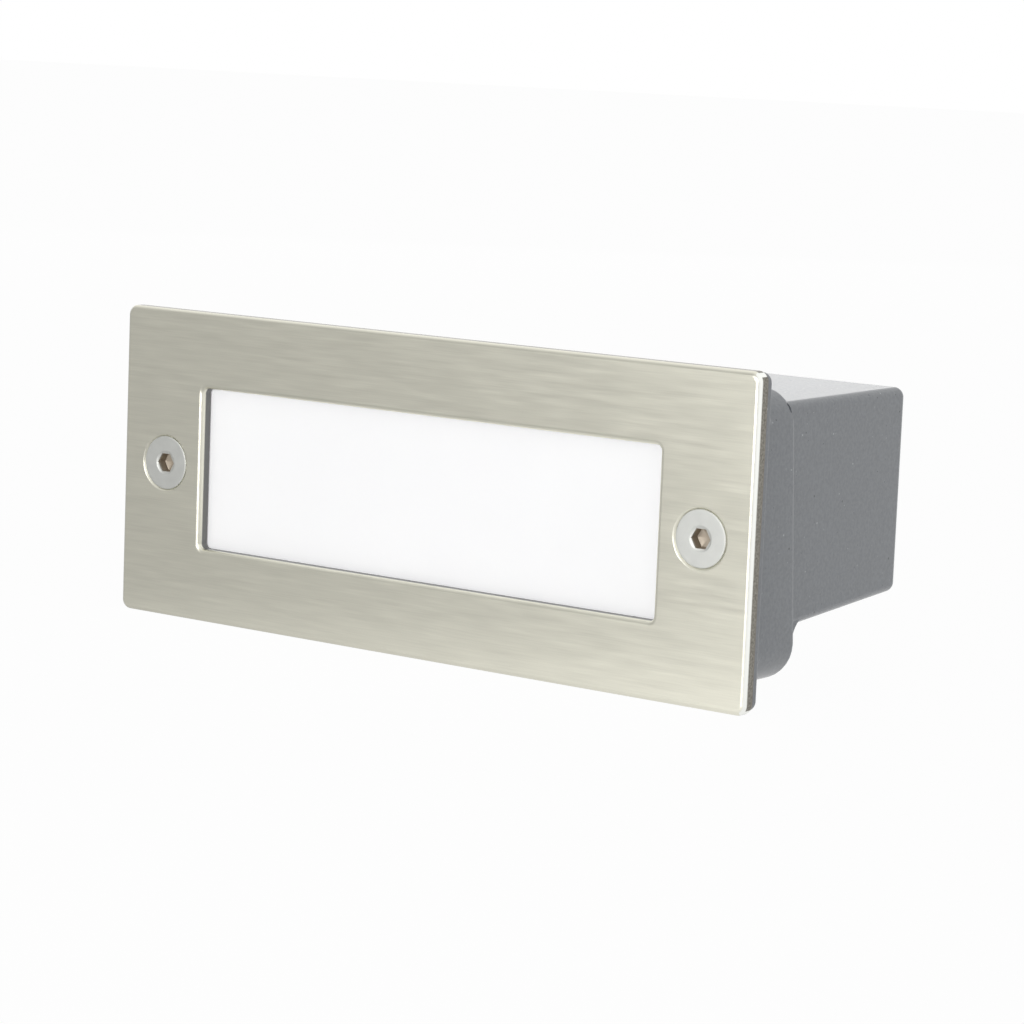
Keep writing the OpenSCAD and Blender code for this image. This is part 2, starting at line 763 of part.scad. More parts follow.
module terminal_clamps() color([0.85, 0.72, 0.40]) {
    for (i = [0:poles - 1]) translate([pole_x(i), clamp_y, driver_z]) difference() {
        cube(clamp_size, center = true);
        cylinder(h = clamp_size[2] + over, r = clamp_bore_r, center = true);
        for (s = [-1, 1]) translate([0, 0, s * clamp_screw_z]) rod(-clamp_size[1], 0, clamp_screw_r + thread_gap);
    }
}

module terminal_screws() color([0.80, 0.80, 0.78]) {
    top = -clamp_size[1] / 2 - over;
    for (i = [0:poles - 1], s = [-1, 1]) translate([pole_x(i), clamp_y, driver_z + s * clamp_screw_z])
        difference() {
            rod(top, -mains_r - face_gap, clamp_screw_r);
            translate([0, top, 0]) cube([2 * clamp_screw_r + over, over, m3_slot_w / 2], center = true);
        }
}

module terminal_fixings() color([0.75, 0.75, 0.75]) {
    for (s = [-1, 1]) translate([terminal_x + s * pole_pitch / 2, terminal_front, driver_z]) difference() {
        rod(-over, terminal_d + pad_hole - bite, m3_r - pane_gap - thread_gap);
        translate([0, -over, 0]) cube([2 * m3_r + over, over, m3_slot_w / 2], center = true);
    }
}

module earth_screw() color([0.80, 0.75, 0.55]) {
    translate([earth_x, pad_y - tag_t, earth_z]) m3_screw(tag_t + pad_hole - bite);
}

module earth_tag() color([0.80, 0.75, 0.55]) {
    translate([earth_x, 0, earth_z]) slab(pad_y - tag_t, pad_y) difference() {
        union() {
            circle(tag_r);
            translate([-tag_len, -tag_r / 2]) square([tag_len, tag_r]);
        }
        circle(m3_r + pane_gap);
    }
}

// A round lead of radius r along straight runs joined by balls that stand a little proud
module lead(points, r) {
    for (i = [0:len(points) - 2]) {
        run = points[i + 1] - points[i];
        length = norm(run);
        translate(points[i]) rotate([0, acos(run[2] / length), atan2(run[1], run[0])])
            cylinder(h = length, r = r);
        if (i > 0) translate(points[i]) sphere(r = knuckle_share * r);
    }
}

// The step from one point to the next, as a direction of length one
function heading(points, i) = (points[i + 1] - points[i]) / norm(points[i + 1] - points[i]);

// A round lead of radius r laid level at height z, bent square at each corner through radius bend
module level_lead(points, z, r, bend) {
    last = len(points) - 1;
    translate([0, 0, z]) {
        for (i = [0:last - 1]) {
            along = heading(points, i);
            start = points[i] + (i > 0 ? bend : 0) * along;
            end = points[i + 1] - (i < last - 1 ? bend : 0) * along;
            translate(start) rotate([0, 90, atan2(along[1], along[0])])
                cylinder(h = norm(end - start), r = r);
        }
        for (i = [1:last - 1]) {
            into = heading(points, i - 1);
            out = heading(points, i);
            from = into[0] * out[1] > into[1] * out[0] ? -out : into;
            translate(points[i] + bend * (out - into)) rotate([0, 0, atan2(from[1], from[0])])
                rotate_extrude(angle = 90) translate([bend, 0]) circle(r = r);
        }
    }
}

lead_y = (pcb_front + driver_front) / 2;
top_z = driver_z + terminal_h / 2;
low_z = driver_z - terminal_h / 2;
driver_in = driver_x - driver_w / 2;
driver_out = driver_x + driver_w / 2;

// A supply lead from the top of a pole to a hole in the driver's case
module supply_lead(i, z) {
    level = top_z + (over + lead_step * (poles - i)) * mains_r;
    turn_x = driver_in - lead_step * i * mains_r;
    lead([[pole_x(i), clamp_y, top_z - terminal_h / 4], [pole_x(i), clamp_y, level],
        [turn_x, lead_y, level], [turn_x, lead_y, z], [driver_in + driver_wall, lead_y, z]], mains_r);
}

module live_lead() color([0.45, 0.25, 0.12]) supply_lead(2, driver_z - 2 * mains_r);
module neutral_lead() color([0.15, 0.30, 0.65]) supply_lead(1, driver_z + 2 * mains_r);

module earth_lead() color([0.35, 0.60, 0.20]) {
    tag_x = earth_x - tag_len + mains_r;
    lead([[pole_x(0), clamp_y, low_z + terminal_h / 4], [pole_x(0), clamp_y, low_z - 2 * mains_r],
        [tag_x, clamp_y, earth_z], [tag_x, pad_y - tag_t, earth_z]], mains_r);
}

// A lead from the driver through the grommet to the light board
module led_lead(s) {
    z = window_z + s * (knuckle_share * led_lead_r + pane_gap);
    side_x = driver_out + 2 * mains_r;
    turn_y = floor_back + 3 * grommet_lip_r;
    pad_x = board_w / 2 - 2 * led_lead_r;
    front_y = board_front - 2 * led_lead_r;
    level_lead([[driver_out - driver_wall, lead_y], [side_x, lead_y], [side_x, turn_y],
        [grommet_x, turn_y], [grommet_x, front_y], [pad_x, front_y], [pad_x, board_front]],
        z, led_lead_r, bend_share * led_lead_r);
}

module led_lead_plus() color([0.75, 0.12, 0.10]) led_lead(1);
module led_lead_minus() color([0.12, 0.12, 0.12]) led_lead(-1);

module gland_body() color([0.30, 0.31, 0.32]) {
    translate([gland_x, 0, gland_z]) difference() {
        union() {
            rod(back_y - shank_in, hex_y + bite, gland_r);
            hex_bar(hex_y, neck_y, hex_af);
            rod(neck_y - bite, neck_end, neck_r);
        }
        rod(back_y - shank_in - over, neck_end + over, throat_r);
        rod(seat_y, neck_end + over, seat_r);
    }
}

module gland_washer() color([0.12, 0.12, 0.12]) {
    translate([gland_x, 0, gland_z]) slab(box_d, hex_y) difference() {
        circle(hex_af / 2);
        circle(gland_r + pane_gap);
    }
}

module gland_locknut() color([0.30, 0.31, 0.32]) {
    translate([gland_x, 0, gland_z]) difference() {
        hex_bar(back_y - locknut_t, back_y, locknut_af);
        rod(back_y - locknut_t - over, back_y + over, gland_r + thread_gap);
    }
}

module gland_claw() color([0.80, 0.80, 0.78]) {
    translate([gland_x, seat_y + face_gap, gland_z]) difference() {
        rod(0, claw_len, claw_r);
        rod(-over, claw_len + over, claw_r - claw_t);
        for (i = [0:claw_slots - 1]) rotate([0, i * 360 / claw_slots, 0])
            translate([0, claw_ring, -claw_slot_w / 2]) cube([claw_r + over, claw_len, claw_slot_w]);
    }
}

module gland_seal() color([0.12, 0.12, 0.12]) {
    translate([gland_x, seat_y + face_gap, gland_z]) difference() {
        rod(0, seal_len, claw_r - claw_t - face_gap);
        rod(-over, seal_len + over, cable_d / 2);
    }
}

module gland_nut() color([0.30, 0.31, 0.32]) {
    nut_end = nut_y + nut_len;
    translate([gland_x, 0, gland_z]) difference() {
        intersection() {
            hex_bar(nut_y, nut_end, hex_af);
            turned() polygon([[0, nut_y], [nut_r, nut_y], [nut_r, nut_end - nut_taper],
                [nut_mouth_r + nut_wall, nut_end], [0, nut_end]]);
        }
        rod(nut_y - over, nut_cone_y, neck_r + thread_gap);
        rod(nut_cone_y, nut_end - nut_wall, neck_r + thread_gap, nut_mouth_r);
        rod(nut_end - nut_wall - bite, nut_end + over, nut_mouth_r);
    }
}

front_plate();
plate_gasket();
diffuser();
diffuser_channel();
cover_screw_left();
cover_screw_right();
screw_seal_left();
screw_seal_right();
housing();
reflector_tray();
tray_screws();
led_board();
led_chips();
board_screws();
lead_grommet();
driver_case();
driver_lid();
driver_screws();
driver_board();
driver_core();
driver_winding();
driver_capacitors();
terminal_block();
terminal_clamps();
terminal_screws();
terminal_fixings();
earth_screw();
earth_tag();
live_lead();
neutral_lead();
earth_lead();
led_lead_plus();
led_lead_minus();
gland_body();
gland_washer();
gland_locknut();
gland_seal();
gland_claw();
gland_nut();
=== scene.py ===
"""Looks of a recessed step light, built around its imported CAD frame.

The frame's origin is the centre of the flange's back face. X is to the right, Y goes into the wall and Z
is up. Sizes in the classes are in millimetres, and every mesh is written in metres with its object at the
origin.
"""

from __future__ import annotations

import logging
import math
from dataclasses import dataclass, field
from enum import Enum

import bmesh
import bpy
import numpy as np
from mathutils import Matrix, Vector


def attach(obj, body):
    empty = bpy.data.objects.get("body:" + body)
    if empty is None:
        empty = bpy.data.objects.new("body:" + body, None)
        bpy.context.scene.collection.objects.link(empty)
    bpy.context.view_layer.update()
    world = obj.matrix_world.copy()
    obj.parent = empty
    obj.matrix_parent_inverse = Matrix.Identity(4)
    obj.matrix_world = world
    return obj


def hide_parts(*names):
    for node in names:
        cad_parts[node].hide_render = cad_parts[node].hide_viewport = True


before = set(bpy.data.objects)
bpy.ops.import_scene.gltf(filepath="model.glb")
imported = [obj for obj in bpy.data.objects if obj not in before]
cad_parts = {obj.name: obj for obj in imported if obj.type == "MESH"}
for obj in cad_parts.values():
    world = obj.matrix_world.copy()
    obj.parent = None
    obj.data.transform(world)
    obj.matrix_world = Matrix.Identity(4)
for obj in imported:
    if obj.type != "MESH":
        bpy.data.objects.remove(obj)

MM = 0.001
MERGE = 2e-6
TURN_STEPS = 96
THREAD_ROWS = 12
WHITE = (1, 1, 1, 1)
LOG = logging.getLogger("step light")
Triple = tuple[float, float, float]
Colour = Triple
Shell = tuple[np.ndarray, list]


def paint(red: float, green: float, blue: float) -> Colour:
    """Turns a display colour of 0 to 255 into linear light.

    Args:
        red, green, blue: the display values.

    Returns:
        Each value to the usual display curve's inverse: (v + 0.055) / 1.055 to the power 2.4.
    """
    share = (np.array([red, green, blue]) / 255 + 0.055) / 1.055
    return tuple(float(v) for v in share**2.4)


# Surfaces


def patch(points: np.ndarray, close_u: bool = False) -> Shell:
    """Joins a grid of points with four-sided faces. Its last column joins the first.

    Args:
        points: array of rows by columns by three, in millimetres.
        close_u: whether the last row joins the first.

    Returns:
        The points as a list of places, and faces (i, j), (i + 1, j), (i + 1, j + 1), (i, j + 1).
    """
    rows, cols = points.shape[:2]
    i = np.arange(rows if close_u else rows - 1)[:, None]
    j = np.arange(cols)[None, :]
    i2, j2 = (i + 1) % rows, (j + 1) % cols
    faces = np.stack([i * cols + j, i2 * cols + j, i2 * cols + j2, i * cols + j2], axis=-1)
    return points.reshape(-1, 3), faces.reshape(-1, 4).tolist()


def loft(stations: list, corner_steps: int = 8, ring: bool = False) -> Shell:
    """A skin over rounded rectangles that stand one behind the other.

    Args:
        stations: each is (half width, top z, bottom z, corner radius, y).
        corner_steps: faces round each corner.
        ring: whether the last station joins the first, as round a frame; otherwise both ends are closed.

    Returns:
        For station s and angle a of corner c: x = c_x (half - r) + r cos a, z = centre_z + r sin a.
    """
    s = np.array(stations, float)
    half, top, low, r, y = (s[:, k][:, None, None] for k in range(5))
    quarter = np.linspace(0, np.pi / 2, corner_steps + 1)
    angle = quarter[None, None, :] + np.arange(4)[None, :, None] * np.pi / 2
    side = np.array([1, -1, -1, 1])[None, :, None]
    upper = np.array([1, 1, 0, 0])[None, :, None]
    x = side * (half - r) + r * np.cos(angle)
    z = np.where(upper == 1, top - r, low + r) + r * np.sin(angle)
    points = np.stack([x, y + 0 * x, z], axis=-1).reshape(len(s), -1, 3)
    if not ring:
        ends = points[[0, -1]].mean(axis=1, keepdims=True) + 0 * points[[0, -1]]
        points = np.concatenate([ends[:1], points, ends[1:]])
    return patch(points, close_u=ring)


def turned(profile: list, centre: tuple[float, float] = (0, 0), steps: int = 64, flats: int = 0) -> Shell:
    """A surface of revolution about a line along Y.

    Args:
        profile: points (radius, y), or (radius, y, 1) where the ring is a polygon whose flats are that
            far out.
        centre: x and z of the line.
        steps: faces round the line.
        flats: sides of that polygon.

    Returns:
        x = cx + q cos t, z = cz + q sin t, where q is the radius, divided on a polygon by the cosine of the
        angle from the nearest flat's middle, with a corner at t = 0.
    """
    rows = np.array([(*p, 0)[:3] for p in profile], float)
    t = np.linspace(0, 2 * np.pi, steps, endpoint=False)
    reach = np.ones(steps)
    if flats:
        part = 2 * np.pi / flats
        reach = 1 / np.cos(t % part - part / 2)
    q = rows[:, :1] * np.where(rows[:, 2:] > 0, reach[None, :], 1)
    points = np.stack([centre[0] + q * np.cos(t), rows[:, 1:2] + 0 * q, centre[1] + q * np.sin(t)], axis=-1)
    return patch(points)


def arc(centre: tuple[float, float], radius: float, start: float, stop: float, steps: int = 6) -> list:
    """Points of a profile's arc.

    Args:
        centre: its centre in the profile's two lengths.
        radius: its radius.
        start, stop: angles in degrees.
        steps: how many faces it takes.

    Returns:
        The points centre + radius (cos a, sin a).
    """
    a = np.radians(np.linspace(start, stop, steps + 1))
    return [(centre[0] + radius * math.cos(v), centre[1] + radius * math.sin(v)) for v in a]


def route(corners: list, bend: float, steps: int = 8) -> np.ndarray:
    """A path along straight runs with its corners rounded.

    Args:
        corners: its points in millimetres.
        bend: how far from a corner its curve starts.
        steps: points on each curve.

    Returns:
        The points; at a corner c with curve ends a and b they are (1-t)^2 a + 2 t (1-t) c + t^2 b.
    """
    p = np.array(corners, float)
    back, ahead = p[:-2] - p[1:-1], p[2:] - p[1:-1]
    reach = [np.minimum(bend, 0.48 * np.linalg.norm(v, axis=1))[:, None] for v in (back, ahead)]
    a = p[1:-1] + back / np.linalg.norm(back, axis=1)[:, None] * reach[0]
    b = p[1:-1] + ahead / np.linalg.norm(ahead, axis=1)[:, None] * reach[1]
    t = np.linspace(0, 1, steps)[None, :, None]
    curve = (1 - t) ** 2 * a[:, None] + 2 * t * (1 - t) * p[1:-1, None] + t**2 * b[:, None]
    return np.concatenate([p[:1], curve.reshape(-1, 3), p[-1:]])


def tube(path: np.ndarray, radius: float, steps: int = 16) -> Shell:
    """A round lead along a path, closed at its ends.

    Args:
        path: points in millimetres.
        radius: its radius.
        steps: faces round it.

    Returns:
        Each point plus radius (cos t n + sin t b), where n and b are square to the path's direction.
    """
    run = np.gradient(path, axis=0)
    run /= np.linalg.norm(run, axis=1)[:, None]
    n = np.cross(run, np.array([0.61, 0.53, -0.59]))
    n /= np.linalg.norm(n, axis=1)[:, None]
    b = np.cross(run, n)
    t = np.linspace(0, 2 * np.pi, steps, endpoint=False)[None, :, None]
    points = path[:, None] + radius * (np.cos(t) * n[:, None] + np.sin(t) * b[:, None])
    ends = path[[0, -1]][:, None] + 0 * points[[0, -1]]
    return patch(np.concatenate([ends[:1], points, ends[1:]]))


def helix(centre: tuple, radius: float, depth: float, pitch: float, span: tuple,
          steps: int = TURN_STEPS) -> Shell:
    """A cut thread about a line along Y.

    Args:
        centre: x and z of the line.
        radius: the crests' radius.
        depth: half of the cut's depth.
        pitch: its pitch.
        span: where it starts and ends along Y.
        steps: faces round the line.

    Returns:
        Radius = crest - depth (1 - cos(2 pi y / pitch - t)), eased to the crest at both ends.
    """
    y = np.linspace(*span, int((span[1] - span[0]) / pitch * THREAD_ROWS))[:, None]
    t = np.linspace(0, 2 * np.pi, steps, endpoint=False)[None, :]
    ease = np.clip(np.minimum(y - span[0], span[1] - y) / pitch, 0, 1)
    q = radius - depth * ease * (1 - np.cos(2 * np.pi * y / pitch - t))
    return patch(np.stack([centre[0] + q * np.cos(t), y + 0 * q, centre[1] + q * np.sin(t)], axis=-1))


def nut_rows(y0: float, y1: float, flat: float, edge: float = 0.5) -> list:
    """A chamfered hexagon's rows for turned.

    Args:
        y0, y1: its ends.
        flat: how far its flats are from its line.
        edge: the length of each chamfer along the line.

    Returns:
        A round row, two six-sided rows and a round row.
    """
    return [(flat - edge / 2, y0), (flat, y0 + edge, 1), (flat, y1 - edge, 1), (flat - edge / 2, y1)]


def slab(x: float, z: float, half: tuple, y0: float, y1: float, round_by: float) -> Shell:
    """A block with rounded corners and cut front edges.

    Args:
        x, z: its middle.
        half: half of its width and of its height.
        y0, y1: its front and its back.
        round_by: the radius of its front corners, and the cut of its front edges.

    Returns:
        A loft of three rounded rectangles, the first of them smaller by the cut.
    """
    e = min(round_by, 0.4 * (y1 - y0))
    w, h = half
    r = round_by + e
    places, faces = loft([(w - e, h - e, -h + e, round_by, y0), (w, h, -h, r, y0 + e), (w, h, -h, r, y1)], 4)
    return places + np.array([x, 0, z]), faces


def filled(outline: np.ndarray, holes: list) -> Shell:
    """A flat face with holes, all on one plane.

    Args:
        outline: the outer loop's points.
        holes: the loops left open.

    Returns:
        The loops' points and the triangles between them.
    """
    bm = bmesh.new()
    for ring in [outline, *holes]:
        verts = [bm.verts.new(p) for p in ring]
        for a, b in zip(verts, verts[1:] + verts[:1]):
            bm.edges.new((a, b))
    bmesh.ops.triangle_fill(bm, use_beauty=True, use_dissolve=False, edges=bm.edges[:])
    bm.verts.index_update()
    shell = np.array([v.co[:] for v in bm.verts]), [[v.index for v in f.verts] for f in bm.faces]
    bm.free()
    return shell


def loop_of(shell: Shell, row: int, cols: int) -> np.ndarray:
    """One row of a grid's points, as a loop."""
    return shell[0][row * cols : (row + 1) * cols]


class Ride(Enum):
    """The CAD bodies that pieces ride on."""

    BASE = "base"
    COVER = "cover"
    SEAL_LEFT = "seal_left"
    SEAL_RIGHT = "seal_right"
    SCREW_LEFT = "screw_left"
    SCREW_RIGHT = "screw_right"
    CLAW = "claw"
    NUT = "nut"


def soften(mesh: bpy.types.Mesh, angle: float) -> None:
    """Shades a mesh smooth, apart from edges sharper than an angle in degrees."""
    mesh.shade_smooth()
    mesh.set_sharp_from_angle(angle=math.radians(angle))


def even_normals(made: bpy.types.Object) -> None:
    """Lets large flat faces hold the shading flat up to their bends."""
    even = made.modifiers.new("even_normals", "WEIGHTED_NORMAL")
    even.mode, even.weight, even.keep_sharp = "FACE_AREA", 50, True


def joined(mesh: bpy.types.Mesh, outward: bool) -> None:
    """Merges a mesh's doubles.

    Args:
        mesh: the mesh, which is changed.
        outward: whether its faces are then turned outward.
    """
    bm = bmesh.new()
    bm.from_mesh(mesh)
    bmesh.ops.remove_doubles(bm, verts=bm.verts, dist=MERGE)
    if outward:
        bmesh.ops.recalc_face_normals(bm, faces=bm.faces)
    bm.to_mesh(mesh)
    bm.free()


def placed(name: str, mesh: bpy.types.Mesh, ride: Ride, nodes: tuple) -> bpy.types.Object:
    """Puts a mesh into the scene at the origin.

    Args:
        name: the object's name.
        mesh: its mesh in metres.
        ride: the body that it moves with.
        nodes: the CAD nodes that it replaces.

    Returns:
        The object.
    """
    made = bpy.data.objects.new(name, mesh)
    bpy.context.scene.collection.objects.link(made)
    even_normals(made)
    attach(made, ride.value)
    if nodes:
        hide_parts(*nodes)
    LOG.info("%s: %d faces", name, len(mesh.polygons))
    return made


def piece(name: str, shells: list, ride: Ride, nodes: tuple, finish: bpy.types.Material,
          angle: float = 32) -> bpy.types.Object:
    """Puts shells into one object that stands for CAD nodes.

    Args:
        name: the piece's name.
        shells: its closed surfaces in millimetres.
        ride: the body that it moves with.
        nodes: the CAD nodes that it replaces.
        finish: its material.
        angle: edges sharper than this stay sharp.

    Returns:
        The object, with its doubles merged and its faces outward.
    """
    verts, faces, start = [], [], 0
    for places, sides in shells:
        verts.append(places * MM)
        faces += [[k + start for k in side] for side in sides]
        start += len(places)
    mesh = bpy.data.meshes.new(name)
    mesh.from_pydata(np.concatenate(verts), [], faces)
    joined(mesh, True)
    soften(mesh, angle)
    mesh.materials.append(finish)
    return placed(name, mesh, ride, nodes)


def smoothed(node: str, ride: Ride, finish: bpy.types.Material, angle: float = 32) -> bpy.types.Object:
    """A copy of a CAD node's mesh with its curves shaded smooth, which replaces the node.

    Args:
        node: the CAD node.
        ride: the body that it moves with.
        finish: its material.
        angle: edges sharper than this stay sharp.

    Returns:
        The object, with its doubles merged.
    """
    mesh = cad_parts[node].data.copy()
    mesh.name = f"{node}_skin"
    joined(mesh, False)
    if "custom_normal" in mesh.attributes:
        mesh.attributes.remove(mesh.attributes["custom_normal"])
    soften(mesh, angle)
    mesh.materials.clear()
    mesh.materials.append(finish)
    return placed(mesh.name, mesh, ride, (node,))


# Finishes


class Value:
    """A socket that takes part in sums: an operator adds the Math node that works it out."""

    def __init__(self, graph: "Graph", socket: bpy.types.NodeSocket) -> None:
        """Wraps a socket of a graph."""
        self.graph, self.socket = graph, socket

    def _math(self, operation: str, a: object, b: object) -> "Value":
        """The Math node for two values."""
        return self.graph.node("ShaderNodeMath", {"operation": operation}, {0: a, 1: b})

    def __add__(self, other: object) -> "Value":
        """This plus another."""
        return self._math("ADD", self, other)

    def __sub__(self, other: object) -> "Value":
        """This minus another."""
        return self._math("SUBTRACT", self, other)

    def __rsub__(self, other: object) -> "Value":
        """Another minus this."""
        return self._math("SUBTRACT", other, self)

    def __mul__(self, other: object) -> "Value":
        """This times another."""
        return self._math("MULTIPLY", self, other)

    def __pow__(self, other: object) -> "Value":
        """This to the power of another."""
        return self._math("POWER", self, other)

    def __abs__(self) -> "Value":
        """This without its sign."""
        return self.graph.node("ShaderNodeMath", {"operation": "ABSOLUTE"}, {0: self})

    def above(self, level: float) -> "Value":
        """One where this is over a level, else nought."""
        return self._math("GREATER_THAN", self, level)

    __radd__, __rmul__ = __add__, __mul__


class Graph:
    """The nodes of one material or world."""

    def __init__(self, tree: bpy.types.NodeTree) -> None:
        """Starts from an empty tree."""
        tree.nodes.clear()
        self.tree = tree

    def node(self, kind: str, settings: dict, sockets: dict, output: object = 0) -> Value:
        """Adds a node.

        Args:
            kind: its type.
            settings: what is set on it first.
            sockets: a value, a colour or a Value for each input, by name or place.
            output: the output that is wanted.

        Returns:
            That output.
        """
        made = self.tree.nodes.new(kind)
        for name, setting in settings.items():
            setattr(made, name, setting)
        for name, given in sockets.items():
            if isinstance(given, Value):
                self.tree.links.new(given.socket, made.inputs[name])
            else:
                made.inputs[name].default_value = given
        return Value(self, made.outputs[output] if made.outputs else None)

    def place(self) -> Value:
        """Object coordinates in metres."""
        return self.node("ShaderNodeTexCoord", {}, {}, "Object")

    def noise(self, place: Value, size: float, stretch: Triple = (1, 1, 1), detail: float = 3) -> Value:
        """Adds a noise of soft blots.

        Args:
            place: where it is read.
            size: how large the blots are, in millimetres.
            stretch: how far they are drawn out along each axis.
            detail: how many finer layers are added.

        Returns:
            Its level.
        """
        shares = tuple(1 / s for s in stretch)
        scaled = self.node("ShaderNodeVectorMath", {"operation": "MULTIPLY"}, {0: place, 1: shares})
        sockets = {"Vector": scaled, "Scale": 1 / (size * MM), "Detail": detail}
        return self.node("ShaderNodeTexNoise", {}, sockets)

    def mix(self, share: object, first: object, second: object) -> Value:
        """A blend of two colours."""
        sockets = {0: share, 6: first, 7: second}
        return self.node("ShaderNodeMix", {"data_type": "RGBA", "clamp_factor": True}, sockets, 2)

    def axes(self, place: Value) -> tuple[Value, ...]:
        """The x, y and z of a place or a direction."""
        outs = self.node("ShaderNodeSeparateXYZ", {}, {0: place}).socket.node.outputs
        return tuple(Value(self, outs[name]) for name in "XYZ")

    def ramp(self, value: Value, start: float, stop: float, low: float = 0.0, high: float = 1.0,
             curve: str = "SMOOTHSTEP") -> Value:
        """A value of start to stop taken to low to high, and held there outside."""
        sockets = {0: value, 1: start, 2: stop, 3: low, 4: high}
        return self.node("ShaderNodeMapRange", {"interpolation_type": curve, "clamp": True}, sockets)

    def tone(self, value: Value, low: float = 0.0, high: float = 1.0) -> Value:
        """A noise, which is mostly 0.3 to 0.7, taken to low to high."""
        return self.ramp(value, 0.3, 0.7, low, high, "LINEAR")


MADE: dict[str, bpy.types.Material] = {}


def rgba(colour: Colour, level: float = 1) -> tuple[float, float, float, float]:
    """A colour at a level, with its fourth number."""
    return (*(min(1.0, level * c) for c in colour), 1.0)


@dataclass(frozen=True)
class Finish:
    """A surface with a colour that wanders, a grain and a gloss that varies.

    grain_size, blot_size and grain_depth are in millimetres. drawn is how far the grain is drawn out along
    each axis. specks lists (gap between them, radius, colour) of the dots in a paint, in millimetres.
    """

    name: str
    colour: Colour
    roughness: float = 0.5
    metallic: float = 0.0
    wander: float = 0.08
    blot_size: float = 7.0
    grain_size: float = 0.35
    grain_depth: float = 0.01
    drawn: Triple = (1, 1, 1)
    gloss_wander: float = 0.08
    coat: float = 0.0
    coat_roughness: float = 0.12
    specks: tuple = ()
    speck_share: float = 0.8
    painted_glow: float = 0.0

    def grain(self, graph: Graph, place: Value) -> Value:
        """The height of the grain, from nought to one."""
        return graph.noise(place, self.grain_size, self.drawn, 4)

    def shade(self, graph: Graph, place: Value, grain: Value) -> tuple[Value, Value]:
        """The colour and the roughness.

        Args:
            graph: the material's nodes.
            place: Object coordinates.
            grain: the grain's height.

        Returns:
            The colour darkened and lightened by slow blots and by the grain, and the roughness with it.
        """
        blots = graph.tone(graph.noise(place, self.blot_size, detail=5))
        colour = graph.mix(blots, rgba(self.colour, 1 - self.wander), rgba(self.colour, 1 + self.wander))
        fine = graph.tone(grain)
        colour = graph.mix(fine * self.wander * 1.5, colour, rgba(self.colour, 1 - 3 * self.wander))
        for gap, radius, speck in self.specks:
            sockets = {"Vector": place, "Scale": 1 / (gap * MM)}
            reach = graph.node("ShaderNodeTexVoronoi", {}, sockets, "Distance")
            colour = graph.mix((1 - reach.above(radius / gap)) * self.speck_share, colour, rgba(speck))
        half = self.gloss_wander / 2
        rough = graph.tone(grain, self.roughness - half, self.roughness + half)
        return colour, rough + blots * self.gloss_wander * 0.5

    def made(self) -> bpy.types.Material:
        """Makes the material, once. The CAD file's own materials keep their names.

        Returns:
            The material, with this finish's colour, roughness, bump, coat and painted glow.
        """
        if self.name in MADE:
            return MADE[self.name]
        material = MADE[self.name] = bpy.data.materials.new(f"{self.name}_finish")
        material.use_nodes = True
        graph = Graph(material.node_tree)
        place = graph.place()
        grain = self.grain(graph, place)
        colour, rough = self.shade(graph, place, grain)
        height = {"Strength": 1.0, "Distance": self.grain_depth * MM, "Height": grain}
        bump = graph.node("ShaderNodeBump", {}, height)
        sockets = {"Base Color": colour, "Roughness": rough, "Metallic": self.metallic, "Normal": bump,
                   "Coat Weight": self.coat, "Coat Roughness": self.coat_roughness}
        # painted light: an emission that brightens a surface which is no lamp
        if self.painted_glow:
            sockets |= {"Emission Color": rgba(self.colour), "Emission Strength": self.painted_glow}
        surface = graph.node("ShaderNodeBsdfPrincipled", {}, sockets)
        graph.node("ShaderNodeOutputMaterial", {}, {"Surface": surface})
        return material


